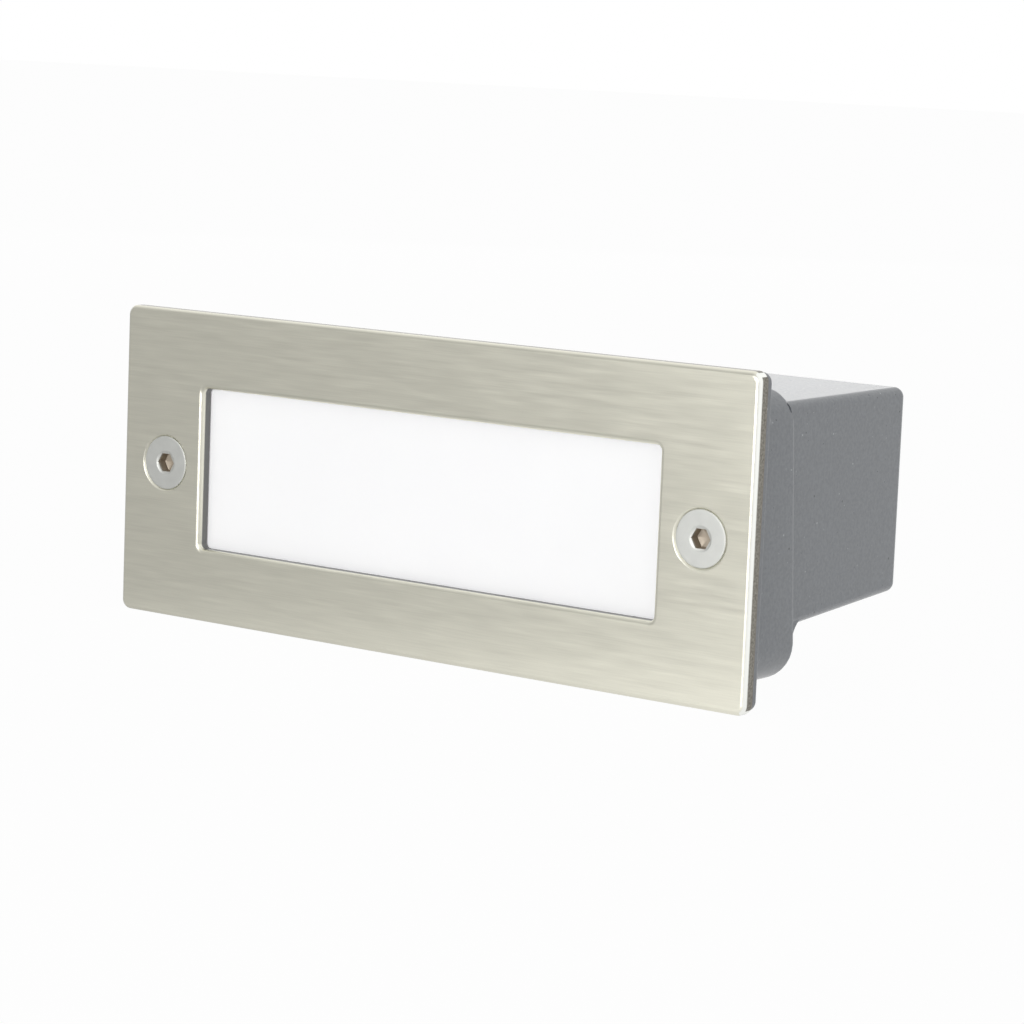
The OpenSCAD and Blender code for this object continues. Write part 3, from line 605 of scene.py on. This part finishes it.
@dataclass(frozen=True)
class Brushed(Finish):
    """Steel with fine lines drawn along X and broad faint bands.

    streak is how far they stand from the colour. wall is the depth, half width and half height within which
    the window's cut walls lie, which are painted dark as painted shade. edge is the half width and the two
    depths between which the side bends are painted pale, a painted highlight. skirt is the depth, half width
    and half height outside which the skirt lies.
    """

    streak: float = 0.055
    line_share: float = 0.78
    band_drawn: Triple = (9, 1, 1)
    # painted shade: where the window's walls are painted dark
    wall: Triple = (-4.35, 63.0, 20.0)
    wall_shade_colour: Colour = (0.19, 0.19, 0.185)
    # painted highlight: where the side bends are painted pale
    edge: Triple = (83.7, -5.49, -5.2)
    bend_highlight_colour: Colour = paint(254, 255, 250)
    skirt: Triple = (-4.5, 84.7, 34.7)
    skirt_colours: tuple[Colour, Colour] = (paint(104, 100, 92), paint(152, 149, 140))
    mottle_size: float = 0.5

    def grain(self, graph: Graph, place: Value) -> Value:
        """Coarse and fine lines added: each is a noise drawn out along X."""
        coarse = graph.noise(place, self.grain_size * 3, self.drawn, 3)
        fine = graph.noise(place, self.grain_size, tuple(2 * d if d > 1 else d for d in self.drawn), 5)
        return coarse * 0.4 + fine * 0.6

    def shade(self, graph: Graph, place: Value, grain: Value) -> tuple[Value, Value]:
        """The drawn steel, with painted shade on the window's walls, a painted pale highlight on the side
        bends, and mottled on the skirt.
        """
        lines = graph.tone(grain)
        bands = graph.tone(graph.noise(place, self.blot_size, self.band_drawn, 4))
        share = lines * self.line_share + bands * (1 - self.line_share)
        colour = graph.mix(share, rgba(self.colour, 1 - self.streak), rgba(self.colour, 1 + self.streak))
        gloss = self.gloss_wander
        rough = lines * gloss + bands * gloss + (self.roughness - gloss)
        x, y, z = graph.axes(place)
        across, up = abs(x), abs(z)
        # painted shade: the window's walls, a recess, are darkened
        deep, wide, high = (v * MM for v in self.wall)
        inner = (1 - across.above(wide)) * (1 - up.above(high))
        colour = graph.mix(graph.ramp(y, deep - 0.25 * MM, deep + 0.15 * MM) * inner, colour,
                           rgba(self.wall_shade_colour))
        # painted highlight: the side bends are painted pale
        wide, start, stop = (v * MM for v in self.edge)
        colour = graph.mix(graph.ramp(y, start, stop) * across.above(wide), colour, rgba(self.bend_highlight_colour))
        deep, wide, high = (v * MM for v in self.skirt)
        outer = (across.above(wide) + up.above(high)).above(0.5)
        mottle = graph.tone(graph.noise(place, self.mottle_size, detail=2))
        skirt = graph.mix(mottle, rgba(self.skirt_colours[0]), rgba(self.skirt_colours[1]))
        return graph.mix(graph.ramp(y, deep - 0.2 * MM, deep + 0.2 * MM) * outer, colour, skirt), rough


@dataclass(frozen=True)
class Faced(Finish):
    """Turned metal, with rings round an axis along Y through (centre x, centre z) in millimetres."""

    centre: tuple[float, float] = (0, 0)
    recess: tuple[float, float] = (-5.3, -4.6)
    recess_r: float = 2.6
    recess_shade_colour: Colour = paint(182, 172, 158)

    def shade(self, graph: Graph, place: Value, grain: Value) -> tuple[Value, Value]:
        """The turned metal, with painted shade darkening the inside of the drive's recess."""
        colour, rough = super().shade(graph, place, grain)
        y = graph.axes(place)[1]
        # painted shade: deeper in the socket the colour turns darker
        deep = graph.ramp(y, self.recess[0] * MM, self.recess[1] * MM, curve="LINEAR")
        near = 1 - self.radius(graph, place).above(self.recess_r * MM)
        return graph.mix(deep * near, colour, rgba(self.recess_shade_colour)), rough

    def radius(self, graph: Graph, place: Value) -> Value:
        """How far a point is from the axis."""
        x, _, z = graph.axes(place)
        return ((x - self.centre[0] * MM) ** 2 + (z - self.centre[1] * MM) ** 2) ** 0.5

    def grain(self, graph: Graph, place: Value) -> Value:
        """A noise of the distance to the axis, so that it forms rings."""
        ring = graph.node("ShaderNodeCombineXYZ", {}, {"X": self.radius(graph, place), "Y": 0.0, "Z": 0.0})
        rings = graph.noise(ring, self.grain_size, detail=4)
        return rings * 0.6 + graph.noise(place, self.grain_size * 4) * 0.4


PLATE = Brushed("brushed_plate", paint(237, 235, 220), roughness=0.36, metallic=1.0, blot_size=1.3,
                grain_size=0.24, grain_depth=0.005, drawn=(22, 1, 1), gloss_wander=0.05)
PAINT = Finish("cast_grey", paint(136, 140, 145), roughness=0.40, wander=0.13, blot_size=0.8, grain_size=0.5,
               grain_depth=0.014, coat=0.5,
               specks=((3.6, 0.22, paint(200, 203, 206)), (2.9, 0.17, paint(172, 176, 180)),
                       (4.1, 0.26, paint(74, 76, 78)), (2.7, 0.15, paint(96, 98, 100))))
GASKET = Finish("grey_gasket", paint(168, 160, 150), 0.8, wander=0.1, blot_size=2.0, grain_size=0.2)
# the pane's glow is painted light; the LEDs behind it give none
OPAL = Finish("opal", paint(246, 246, 247), 0.32, wander=0.008, blot_size=20, grain_depth=0.002, painted_glow=0.21,
              coat=0.05)
RUBBER = Finish("black_rubber", paint(38, 38, 39), 0.72, wander=0.12, blot_size=3, grain_size=0.15,
                grain_depth=0.012)
ZINC = Finish("zinc_steel", paint(200, 203, 205), 0.34, 1.0, blot_size=2.0, grain_size=0.2, grain_depth=0.006)
BRASS = Finish("brass_parts", paint(214, 184, 120), 0.32, 1.0, blot_size=2.0, grain_size=0.2,
               grain_depth=0.005)
TRAY = Finish("white_tray", paint(238, 238, 235), 0.42, wander=0.03, blot_size=12, grain_size=0.4)
BOARD = Finish("white_board", paint(236, 237, 235), 0.35, wander=0.03, blot_size=6, grain_size=0.3, coat=0.2)
PHOSPHOR = Finish("phosphor", paint(240, 214, 120), 0.28, blot_size=0.8, grain_size=0.1, coat=0.4)
CASE = Finish("driver_white", paint(226, 226, 221), 0.55, wander=0.04, blot_size=10, grain_size=0.25,
              grain_depth=0.02)
GREEN = Finish("green_board", paint(34, 104, 62), 0.3, wander=0.15, blot_size=3, grain_size=0.5, coat=0.3)
FERRITE = Finish("ferrite", paint(62, 62, 66), 0.6, wander=0.15, blot_size=1.5, grain_size=0.15,
                 grain_depth=0.02)
TAPE = Finish("yellow_tape", paint(226, 186, 62), 0.3, blot_size=2, drawn=(1, 1, 0.2), coat=0.4)
CAPACITOR = Finish("capacitor_blue", paint(40, 52, 92), 0.28, wander=0.1, blot_size=3, coat=0.4)
TERMINAL = Finish("terminal_white", paint(230, 229, 222), 0.45, wander=0.04, blot_size=5, grain_depth=0.012)
NYLON = Finish("gland_grey", paint(92, 94, 97), wander=0.07, blot_size=4, grain_size=0.25, grain_depth=0.02)
TIN = Finish("tinned_pads", paint(206, 206, 200), 0.4, 1.0, 0.06, 1.0, 0.15, 0.004)
CLAW = Finish("claw_white", paint(222, 221, 215), 0.45, wander=0.05, blot_size=3)


def sleeve(name: str, red: float, green: float, blue: float) -> Finish:
    """The sleeve of a lead in one colour."""
    return Finish(name, paint(red, green, blue), 0.38, wander=0.08, blot_size=4, grain_size=0.3, coat=0.15)


LED_ROUTE = ((60.5, 40.8), (64.2, 40.8), (64.2, 29.65), (53.7, 29.65), (53.7, 15.15), (48.5, 15.15),
             (48.5, 16.65))


# Sub-assemblies


@dataclass
class Cover:
    """The formed steel plate with its window, the gasket under it and the opal pane in its rubber channel.

    A window, gasket or pane is (half width, top z, bottom z, corner radius).
    """

    half_w: float = 85.0
    half_h: float = 35.0
    face: float = -5.5
    back: float = -2.5
    sheet: float = 0.8
    bend: float = 1.1
    bend_steps: tuple[int, int] = (7, 5)
    corner: float = 2.2
    least_corner: float = 0.02
    edge_cut: float = 0.15
    opening: tuple = (61.8, 17.9, -18.5, 1.2)
    opening_cut: float = 0.12
    screw_x: float = 72.5
    sink: float = 6.55
    sink_edge: float = 0.32
    sink_tangent: float = 0.414
    cup: Triple = (-0.2, 1.4, 0.9)
    gasket: tuple = (81.8, 28.5, -28.5, 5.8)
    gasket_y: tuple = (-2.5, -2.0)
    gasket_in: float = 0.2
    gasket_round: float = 0.12
    slab_size: tuple = (64.0, 21.7, -22.3, 1.4)
    slab_y: tuple = (-2.4, 0.6)
    slab_round: float = 0.35
    groove: tuple = (60.0, 17.7, -18.3, 1.0)
    groove_rows: tuple = ((0, 0), (0.3, 0.4), (0.9, 0.4), (1.2, 0))
    ring_steps: int = TURN_STEPS
    corner_steps: int = 10

    def outer(self, out: float, y: float) -> tuple:
        """The plate's outline moved out by some millimetres, at a depth."""
        w, h = self.half_w, self.half_h
        return (w + out, h + out, -h - out, max(self.corner + out, self.least_corner), y)

    def window(self, out: float, y: float) -> tuple:
        """The window's outline moved out by some millimetres, at a depth."""
        w, top, low, corner = self.opening
        return (w + out, top + out, low - out, corner + out, y)

    def plate(self) -> None:
        """The plate as one sheet: skirt, bend, face, the two countersinks, and the window's bend and wall."""
        r, t, face, back = self.bend, self.sheet, self.face, self.back
        deep = face + r
        many, few = self.bend_steps
        cols = 4 * (self.corner_steps + 1)
        outside = [self.outer(-self.edge_cut, back), self.outer(0, back - self.edge_cut)]
        outside += [self.outer(x, y) for x, y in arc((-r, deep), r, 0, -90, many)]
        window = [self.window(x, y) for x, y in arc((r, deep), r, -90, -180, many)]
        window += [self.window(0, back - self.opening_cut), self.window(self.opening_cut, back)]
        window += [self.window(t, back)]
        window += [self.window(x, y) for x, y in arc((r, deep), r - t, 180, 270, few)]
        inside = [self.outer(x, y) for x, y in arc((-r, deep), r - t, -90, 0, few)] + [self.outer(-t, back)]
        strips = (outside, window, inside)
        skins = [loft(strip, self.corner_steps, True) for strip in strips]
        # a loft's last faces, which join its two ends, are left out of the bent strips
        shells = [(p, f[: (len(strip) - 1) * cols]) for (p, f), strip in zip(skins, strips)]
        edge = loft([inside[-1], outside[0]], self.corner_steps, True)
        shells.append((edge[0], edge[1][:cols]))
        rim = self.sink_edge
        dish = arc((self.sink + rim * self.sink_tangent, face + rim), rim, -90, -135, 4)
        hole, foot, top = self.cup
        throat = self.sink - (back - face)
        cup = [(throat + hole, back), (throat + foot, back), (self.sink + top, face + t)]
        front_rings, back_rings = [], []
        for sx in (-1, 1):
            cone = turned([*dish, *cup], (sx * self.screw_x, 0), self.ring_steps)
            shells.append(cone)
            front_rings.append(loop_of(cone, 0, self.ring_steps))
            back_rings.append(loop_of(cone, len(dish) + len(cup) - 1, self.ring_steps))
        face_out, face_in = loop_of(skins[0], len(outside) - 1, cols), loop_of(skins[1], 0, cols)
        back_in, back_out = loop_of(skins[1], len(window) - 1, cols), loop_of(skins[2], 0, cols)
        shells += [filled(face_out, [face_in, *front_rings]), filled(back_out, [back_in, *back_rings])]
        piece("front_plate_sheet", shells, Ride.COVER, ("front_plate",), PLATE.made(), 40)

    def seals(self) -> None:
        """The flat gasket under the skirt, whose edge is rounded, and the channel round the pane."""
        y0, y1 = self.gasket_y
        middle, half = (y0 + y1) / 2, (y1 - y0) / 2
        bulge = self.gasket_round
        edge = [self.outer(-self.gasket_in - bulge * (1 - math.cos(a)), middle + half * math.sin(a))
                for a in np.radians(np.linspace(-90, 90, 7))]
        ring = loft([*edge, (*self.gasket, y1), (*self.gasket, y0)], ring=True)
        piece("plate_gasket_ring", [ring], Ride.COVER, ("plate_gasket",), GASKET.made())
        smoothed("diffuser_channel", Ride.COVER, RUBBER.made())

    def pane(self) -> None:
        """The opal pane: a slab with rounded edges and a shallow groove round its back."""
        (y0, y1), r = self.slab_y, self.slab_round
        w, top, low, corner = self.slab_size
        bends = arc((-r, y0 + r), r, -90, 0, 4) + arc((-r, y1 - r), r, 0, 90, 4)
        rows = [(w + x, top + x, low - x, corner + x, y) for x, y in bends]
        w, top, low, corner = self.groove
        rows += [(w - d, top - d, low + d, corner, y1 - g) for d, g in self.groove_rows]
        piece("diffuser_pane", [loft(rows)], Ride.COVER, ("diffuser",), OPAL.made())

    def build(self) -> None:
        """Makes the cover's pieces."""
        self.plate()
        self.seals()
        self.pane()


@dataclass
class CoverScrew:
    """A countersunk screw with a hex socket, a ring seal in its cone and a cut thread.

    side is -1 for the left screw and 1 for the right one. seal is where the ring's middle lies, and seal_open
    the angles between which its groove runs.
    """

    side: int
    x: float = 72.5
    head: float = 6.1
    head_edge: float = 0.2
    top: float = -5.4
    rim: float = -5.12
    seal: tuple = (4.196, -3.924)
    seal_r: float = 0.5
    seal_open: tuple = (14.7, -284.7)
    groove_r: float = 0.58
    shank: float = 3.0
    point: float = 0.8
    end: float = 10.6
    socket: float = 2.0
    socket_depth: float = 2.5
    socket_corner: float = 1.155
    pitch: float = 1.0
    thread_cut: float = 0.27
    steps: int = TURN_STEPS

    def build(self) -> None:
        """Makes the screw and its seal."""
        word = "left" if self.side < 0 else "right"
        centre = (self.side * self.x, 0)
        finish = Faced(f"satin_steel_{word}", paint(217, 218, 214), roughness=0.55, metallic=1.0, wander=0.03,
                       blot_size=2.5, grain_size=0.12, grain_depth=0.004, centre=centre)
        top, flat, head, rim, shank = self.top, self.socket, self.head, self.rim, self.shank
        deep, corner = top + self.socket_depth, flat * self.socket_corner
        inside = [(0, deep + 0.55), (flat * 0.93, deep, 1), (flat, deep - 0.05, 1), (flat, top + 0.3, 1),
                  (flat + 0.05, top + 0.17, 1)]
        crown = [(corner + 0.28, top + 0.1), (corner + 0.42, top + 0.012), (3.6, top),
                 (head - 0.55, top + 0.01)]
        edge = self.head_edge
        crown += arc((head - edge - 0.02, top + edge + 0.02), edge, -90, 0, 5)
        cone = [(head, rim), *arc(self.seal, self.groove_r, *self.seal_open, 20),
                (shank + 0.1, rim + head - shank - 0.1), (shank, rim + head - shank + 0.1)]
        tip = [(shank, self.end - self.point), (shank - self.point, self.end), (0, self.end)]
        shells = [turned([*inside, *crown, *cone], centre, self.steps, 6),
                  helix(centre, shank, self.thread_cut, self.pitch, (cone[-1][1], tip[0][1]), self.steps),
                  turned(tip, centre, self.steps)]
        screw, seal = f"cover_screw_{word}", f"screw_seal_{word}"
        piece(f"{screw}_solid", shells, Ride(f"screw_{word}"), (screw,), finish.made(), 28)
        ring = turned(arc(self.seal, self.seal_r, 0, 360, 16), centre, self.steps)
        piece(f"{seal}_ring", [ring], Ride(f"seal_{word}"), (seal,), RUBBER.made())


@dataclass
class Body:
    """The cast housing with its speckled paint."""

    def build(self) -> None:
        """Makes the housing's skin."""
        smoothed("housing", Ride.BASE, PAINT.made(), 26)


@dataclass
class Gland:
    """The cable gland: its body through the back wall, washer, locknut, seal, claw and dome nut.

    Depths in the profiles are counted from the back face of the washer or from an end of the nut.
    """

    x: float = -54.0
    z: float = 4.25
    wall: tuple = (57.1, 59.3)
    washer: float = 1.5
    washer_hole: float = 8.1
    washer_round: float = 0.4
    body_r: float = 8.0
    neck_r: float = 7.5
    cup_r: float = 6.3
    bore_r: float = 4.9
    flat: float = 10.0
    hex_h: float = 5.0
    pitch: float = 1.5
    cut: float = 0.4
    lock_r: float = 8.06
    nut_r: float = 7.56
    mouth_r: float = 4.5
    seal_r: tuple = (3.5, 5.35)
    steps: int = TURN_STEPS

    @property
    def centre(self) -> tuple:
        """The gland's line."""
        return (self.x, self.z)

    @property
    def seat(self) -> float:
        """The back face of the washer."""
        return self.wall[1] + self.washer

    def body(self) -> None:
        """The body: a bored shank and neck with threads and a six-sided collar between them."""
        c, y, r, neck = self.centre, self.seat, self.body_r, self.neck_r
        collar = y + self.hex_h
        cup, bore = self.cup_r, self.bore_r
        ends = [(cup, y + 12.9), (cup, y + 6.5), (bore, y + 6.5), (bore, y - 13.6), (bore + 0.1, y - 13.7),
                (neck, y - 13.7), (r, y - 13.2)]
        middle = [(r, y - 0.4), (r, y), *nut_rows(y, collar, self.flat), (neck, collar), (neck, y + 5.5)]
        lip = [(neck, y + 12.5), (7.1, y + 13), (6.4, y + 13), (cup, y + 12.9)]
        shells = [turned(ends, c, self.steps), helix(c, r, self.cut, self.pitch, (y - 13.2, y - 0.4)),
                  turned(middle, c, self.steps, 6), helix(c, neck, self.cut, self.pitch, (y + 5.5, y + 12.5)),
                  turned(lip, c, self.steps)]
        piece("gland_body_turned", shells, Ride.BASE, ("gland_body",), NYLON.made(), 30)

    def rings(self) -> None:
        """The washer and the locknut, on the two sides of the wall."""
        c, y, (w0, w1) = self.centre, self.seat, self.wall
        hole, r, out = self.washer_hole, self.washer_round, self.flat - 0.4
        pad = [(hole, w1), (out + 0.1, w1), *arc((out, w1 + r), r, -60, 0, 4),
               *arc((out, y - r), r, 0, 60, 4), (out + 0.1, y), (hole, y), (hole, w1)]
        piece("gland_washer_ring", [turned(pad, c, self.steps)], Ride.BASE, ("gland_washer",), RUBBER.made())
        front, r = w0 - self.hex_h, self.lock_r
        lock = [(r, front), *nut_rows(front, w0, self.flat + 1), (r, w0), (r, front)]
        locknut = turned(lock, c, self.steps, 6)
        piece("gland_locknut_hex", [locknut], Ride.BASE, ("gland_locknut",), NYLON.made(), 30)

    def nut(self) -> None:
        """The dome nut, the seal and the claw under it."""
        c, y, flat, inner, mouth = self.centre, self.seat, self.flat, self.nut_r, self.mouth_r
        n = y + 5.4
        dome = [(inner, n), (flat - 0.25, n), (flat, n + 0.5, 1), (flat, n + 12.3, 1),
                (flat - 0.15, n + 12.9), *arc((6.4, n + 13.4), 3.35, 0, 80, 8), (6.4, n + 17),
                (mouth + 0.2, n + 17), (mouth, n + 16.8), (mouth, n + 15.5), (inner, n + 12), (inner, n)]
        piece("gland_nut_dome", [turned(dome, c, self.steps, 6)], Ride.NUT, ("gland_nut",), NYLON.made(), 30)
        low, high = self.seal_r
        seal = [(low, y + 6.8), (5.0, y + 6.55), (high, y + 6.9), (high, y + 17.2), (5.0, y + 17.5),
                (low + 0.2, y + 17.5), (low, y + 17.2), (low, y + 6.8)]
        piece("gland_seal_sleeve", [turned(seal, c)], Ride.BASE, ("gland_seal",), RUBBER.made())
        smoothed("gland_claw", Ride.CLAW, CLAW.made())

    def build(self) -> None:
        """Makes the gland's pieces."""
        self.body()
        self.rings()
        self.nut()


@dataclass
class LightBoard:
    """The light sources: framed packages with domed phosphor, and their board's pads and tracks."""

    front: float = 16.65
    half: tuple = (1.75, 1.4)
    height: float = 0.62
    cup: tuple = ((0, 0.8), (0.5, 0.79), (0.95, 0.73), (1.12, 0.6), (1.12, 0.5), (0, 0.5))
    pad_x: float = 2.05
    pad: tuple = (0.28, 1.1)
    track_gap: float = 2.6
    track_half: float = 0.35
    film: tuple = (0.03, 0.02)
    film_round: float = 0.05

    def build(self) -> None:
        """Makes the packages and the marks of the board."""
        front, edge = self.front, self.film_round
        frames, domes, films = [], [], []
        for x, z in self.centres():
            frames.append(slab(x, z, self.half, front - self.height, front, 0.12))
            domes.append(turned([(r, front - y) for r, y in self.cup], (x, z), 28))
            films += [slab(x + s * self.pad_x, z, self.pad, front - self.film[0], front, edge)
                      for s in (-1, 1)]
        piece("led_frames", frames, Ride.BASE, ("led_chips",), TRAY.made())
        piece("led_domes", domes, Ride.BASE, ("led_chips",), PHOSPHOR.made())
        xs, zs = (sorted({centre[k] for centre in self.centres()}) for k in (0, 1))
        films += [slab((a + b) / 2, z, ((b - a) / 2 - self.track_gap, self.track_half), front - self.film[1],
                       front, edge) for z in zs for a, b in zip(xs, xs[1:])]
        piece("led_tracks", films, Ride.BASE, (), TIN.made())

    def centres(self) -> list:
        """The middles (x, z) of the packages: their least x and z in the CAD node, plus half a package."""
        places = np.array([v.co[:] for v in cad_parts["led_chips"].data.vertices]) / MM
        xs, zs = (sorted({round(float(v), 2) for v in places[:, k]}) for k in (0, 2))
        return [(a + self.half[0], b + self.half[1]) for a in xs[::2] for b in zs[::2]]


@dataclass(frozen=True)
class Lead:
    """A lead: its radius, how far from a corner its bend starts, its sleeve's name and colour, its path."""

    radius: float
    bend: float
    word: str
    colour: Triple
    corners: tuple

    def build(self, node: str) -> None:
        """Makes the lead as a smooth tube in its CAD node's place."""
        finish = sleeve(f"{self.word}_sleeve", *self.colour)
        shell = tube(route(list(self.corners), self.bend), self.radius, 20)
        piece(f"{node}_tube", [shell], Ride.BASE, (node,), finish.made(), 50)


@dataclass
class Leads:
    """The leads by their CAD nodes."""

    leads: dict = field(default_factory=lambda: {
        "live_lead": Lead(1.1, 1.6, "brown", (112, 70, 42), (
            (-18, 45.1, 9.25), (-18, 45.1, 18.21), (-3.72, 40.8, 18.21), (-3.72, 40.8, 2.05),
            (3.5, 40.8, 2.05))),
        "neutral_lead": Lead(1.1, 1.6, "blue", (48, 96, 176), (
            (-26, 45.1, 9.25), (-26, 45.1, 21.07), (-0.86, 40.8, 21.07), (-0.86, 40.8, 6.45),
            (3.5, 40.8, 6.45))),
        "earth_lead": Lead(1.1, 1.6, "green", (88, 160, 60), (
            (-34, 45.1, -0.75), (-34, 45.1, -7.95), (-16.9, 45.1, -9.739), (-16.9, 53.3, -9.739))),
        "led_lead_plus": Lead(0.75, 1.2, "red", (184, 44, 36), tuple((*spot, 0.64) for spot in LED_ROUTE)),
        "led_lead_minus": Lead(0.75, 1.2, "black", (36, 36, 36),
                               tuple((*spot, -1.24) for spot in LED_ROUTE))})

    def build(self) -> None:
        """Makes the tubes."""
        for node, lead in self.leads.items():
            lead.build(node)


@dataclass
class Inside:
    """What the housing holds, node by node, with each one's finish."""

    finishes: dict = field(default_factory=lambda: {
        "reflector_tray": TRAY, "tray_screws": ZINC, "led_board": BOARD, "board_screws": ZINC,
        "lead_grommet": RUBBER, "driver_case": CASE, "driver_lid": CASE, "driver_screws": ZINC,
        "driver_board": GREEN, "driver_core": FERRITE, "driver_winding": TAPE, "driver_capacitors": CAPACITOR,
        "terminal_block": TERMINAL, "terminal_clamps": BRASS, "terminal_screws": ZINC,
        "terminal_fixings": ZINC, "earth_screw": BRASS, "earth_tag": BRASS})

    def build(self) -> None:
        """Dresses the nodes."""
        for node, finish in self.finishes.items():
            smoothed(node, Ride.BASE, finish.made())


# Studio


@dataclass
class Studio:
    """The camera at the photograph's view, a pale floor, a white surround and soft lamps.

    Its sizes are in metres. soft is how much the surround lights, and above the share of that from overhead.
    dim is how bright mirrors see the floor and the surround along dim_way. A lamp is its name, place, power
    and size.
    """

    place: tuple = (0.444438, -0.582175, 0.100639)
    right: tuple = (0.804906, 0.592049, 0.040045)
    up: tuple = (-0.114811, 0.089169, 0.989377)
    back: tuple = (0.582189, -0.800954, 0.139747)
    lens: float = 120.39
    sensor: float = 36.0
    floor_z: float = -0.03505
    floor_half: float = 6.0
    floor_colour: tuple = (0.86, 0.86, 0.86, 1)
    floor_white: float = 0.97
    white: float = 1.0
    soft: float = 0.72
    dim: float = 0.46
    dim_way: tuple = (-0.6, -0.8, 0.0)
    dim_reach: tuple = (-0.12, 0.12)
    dim_turn: tuple = (0.15, 0.9)
    above: float = 0.6
    above_reach: tuple = (0.05, 0.7)
    aim: tuple = (0, 0.02, 0)
    clip: tuple = (0.05, 40)
    lamps: tuple = (
        ("key", (0.05, -0.80, 0.02), 4.4, 0.4),
        ("rim", (-0.80, 1.10, 0.30), 0.6, 0.6),
    )

    def camera(self) -> None:
        """Places the camera: its matrix has right, up and back as columns."""
        data = bpy.data.cameras.new("view")
        data.lens, data.sensor_width = self.lens, self.sensor
        data.clip_start, data.clip_end = self.clip
        made = bpy.data.objects.new("view", data)
        turn = Matrix((self.right, self.up, self.back)).transposed().to_4x4()
        made.matrix_world = Matrix.Translation(self.place) @ turn
        bpy.context.scene.collection.objects.link(made)
        bpy.context.scene.camera = made

    def floor(self) -> None:
        """A pale plane under the plate, which camera and mirror rays see nearly white."""
        h = self.floor_half
        mesh = bpy.data.meshes.new("floor")
        corners = ((-h, -h), (h, -h), (h, h), (-h, h))
        mesh.from_pydata([(*corner, self.floor_z) for corner in corners], [], [(0, 1, 2, 3)])
        material = bpy.data.materials.new("pale_floor")
        material.use_nodes = True
        graph = Graph(material.node_tree)
        camera, mirror = self.rays(graph)
        ahead = self.ahead(graph, graph.place(), self.dim_reach)
        lit = graph.node("ShaderNodeBsdfDiffuse", {}, {"Color": self.floor_colour})
        white = graph.node("ShaderNodeEmission", {}, {"Color": WHITE, "Strength": camera + mirror * ahead})
        share = (camera + mirror) * self.floor_white
        both = graph.node("ShaderNodeMixShader", {}, {0: share, 1: lit, 2: white})
        graph.node("ShaderNodeOutputMaterial", {}, {"Surface": both})
        mesh.materials.append(material)
        made = bpy.data.objects.new("floor", mesh)
        bpy.context.scene.collection.objects.link(made)

    def rays(self, graph: Graph) -> tuple[Value, Value]:
        """One for camera rays, and one for mirror and transmission rays, else nought."""
        camera = graph.node("ShaderNodeLightPath", {}, {}, "Is Camera Ray")
        outs = camera.socket.node.outputs
        glossy, through = (Value(graph, outs[f"Is {kind} Ray"]) for kind in ("Glossy", "Transmission"))
        return camera, (glossy + through).above(0.5)

    def ahead(self, graph: Graph, place: Value, reach: tuple) -> Value:
        """Adds a level that falls from one to dim along dim_way.

        Args:
            graph: the nodes of the floor or the world.
            place: a place or a direction.
            reach: how far along dim_way the fall starts and ends.

        Returns:
            The level.
        """
        sockets = {0: place, 1: self.dim_way}
        along = graph.node("ShaderNodeVectorMath", {"operation": "DOT_PRODUCT"}, sockets, "Value")
        return graph.ramp(along, *reach, 1.0, self.dim)

    def surround(self) -> None:
        """A world that is white to the camera, dim to mirrors at the front left, and that lights softly."""
        world = bpy.data.worlds.new("surround")
        bpy.context.scene.world = world
        world.use_nodes = True
        graph = Graph(world.node_tree)
        camera, mirror = self.rays(graph)
        way = graph.node("ShaderNodeTexCoord", {}, {}, "Generated")
        over = graph.ramp(graph.axes(way)[2], *self.above_reach, self.soft, self.soft * self.above)
        rest = (1 - camera) * (1 - mirror) * over
        level = camera * self.white + (mirror + rest) * self.ahead(graph, way, self.dim_turn)
        sky = graph.node("ShaderNodeBackground", {}, {"Color": WHITE, "Strength": level})
        graph.node("ShaderNodeOutputWorld", {}, {"Surface": sky})

    def lights(self) -> None:
        """Square lamps that face the object's centre."""
        for name, place, power, size in self.lamps:
            data = bpy.data.lights.new(name, "AREA")
            data.energy, data.size = power, size
            made = bpy.data.objects.new(name, data)
            made.location = place
            made.rotation_euler = (Vector(self.aim) - Vector(place)).to_track_quat("-Z", "Y").to_euler()
            bpy.context.scene.collection.objects.link(made)

    def build(self) -> None:
        """Sets the studio up."""
        self.camera()
        self.floor()
        self.surround()
        self.lights()
        bpy.context.scene.view_settings.view_transform = "Standard"


def main() -> None:
    """Builds the classes in order."""
    logging.basicConfig(level=logging.INFO, format="%(name)s: %(message)s")
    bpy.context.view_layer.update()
    parts = [Studio(), Cover(), CoverScrew(-1), CoverScrew(1), Body(), Gland(), LightBoard(), Leads(),
             Inside()]
    for part in parts:
        part.build()
        LOG.info("built %s", type(part).__name__)
    bpy.context.view_layer.update()


if __name__ == "__main__":
    main()
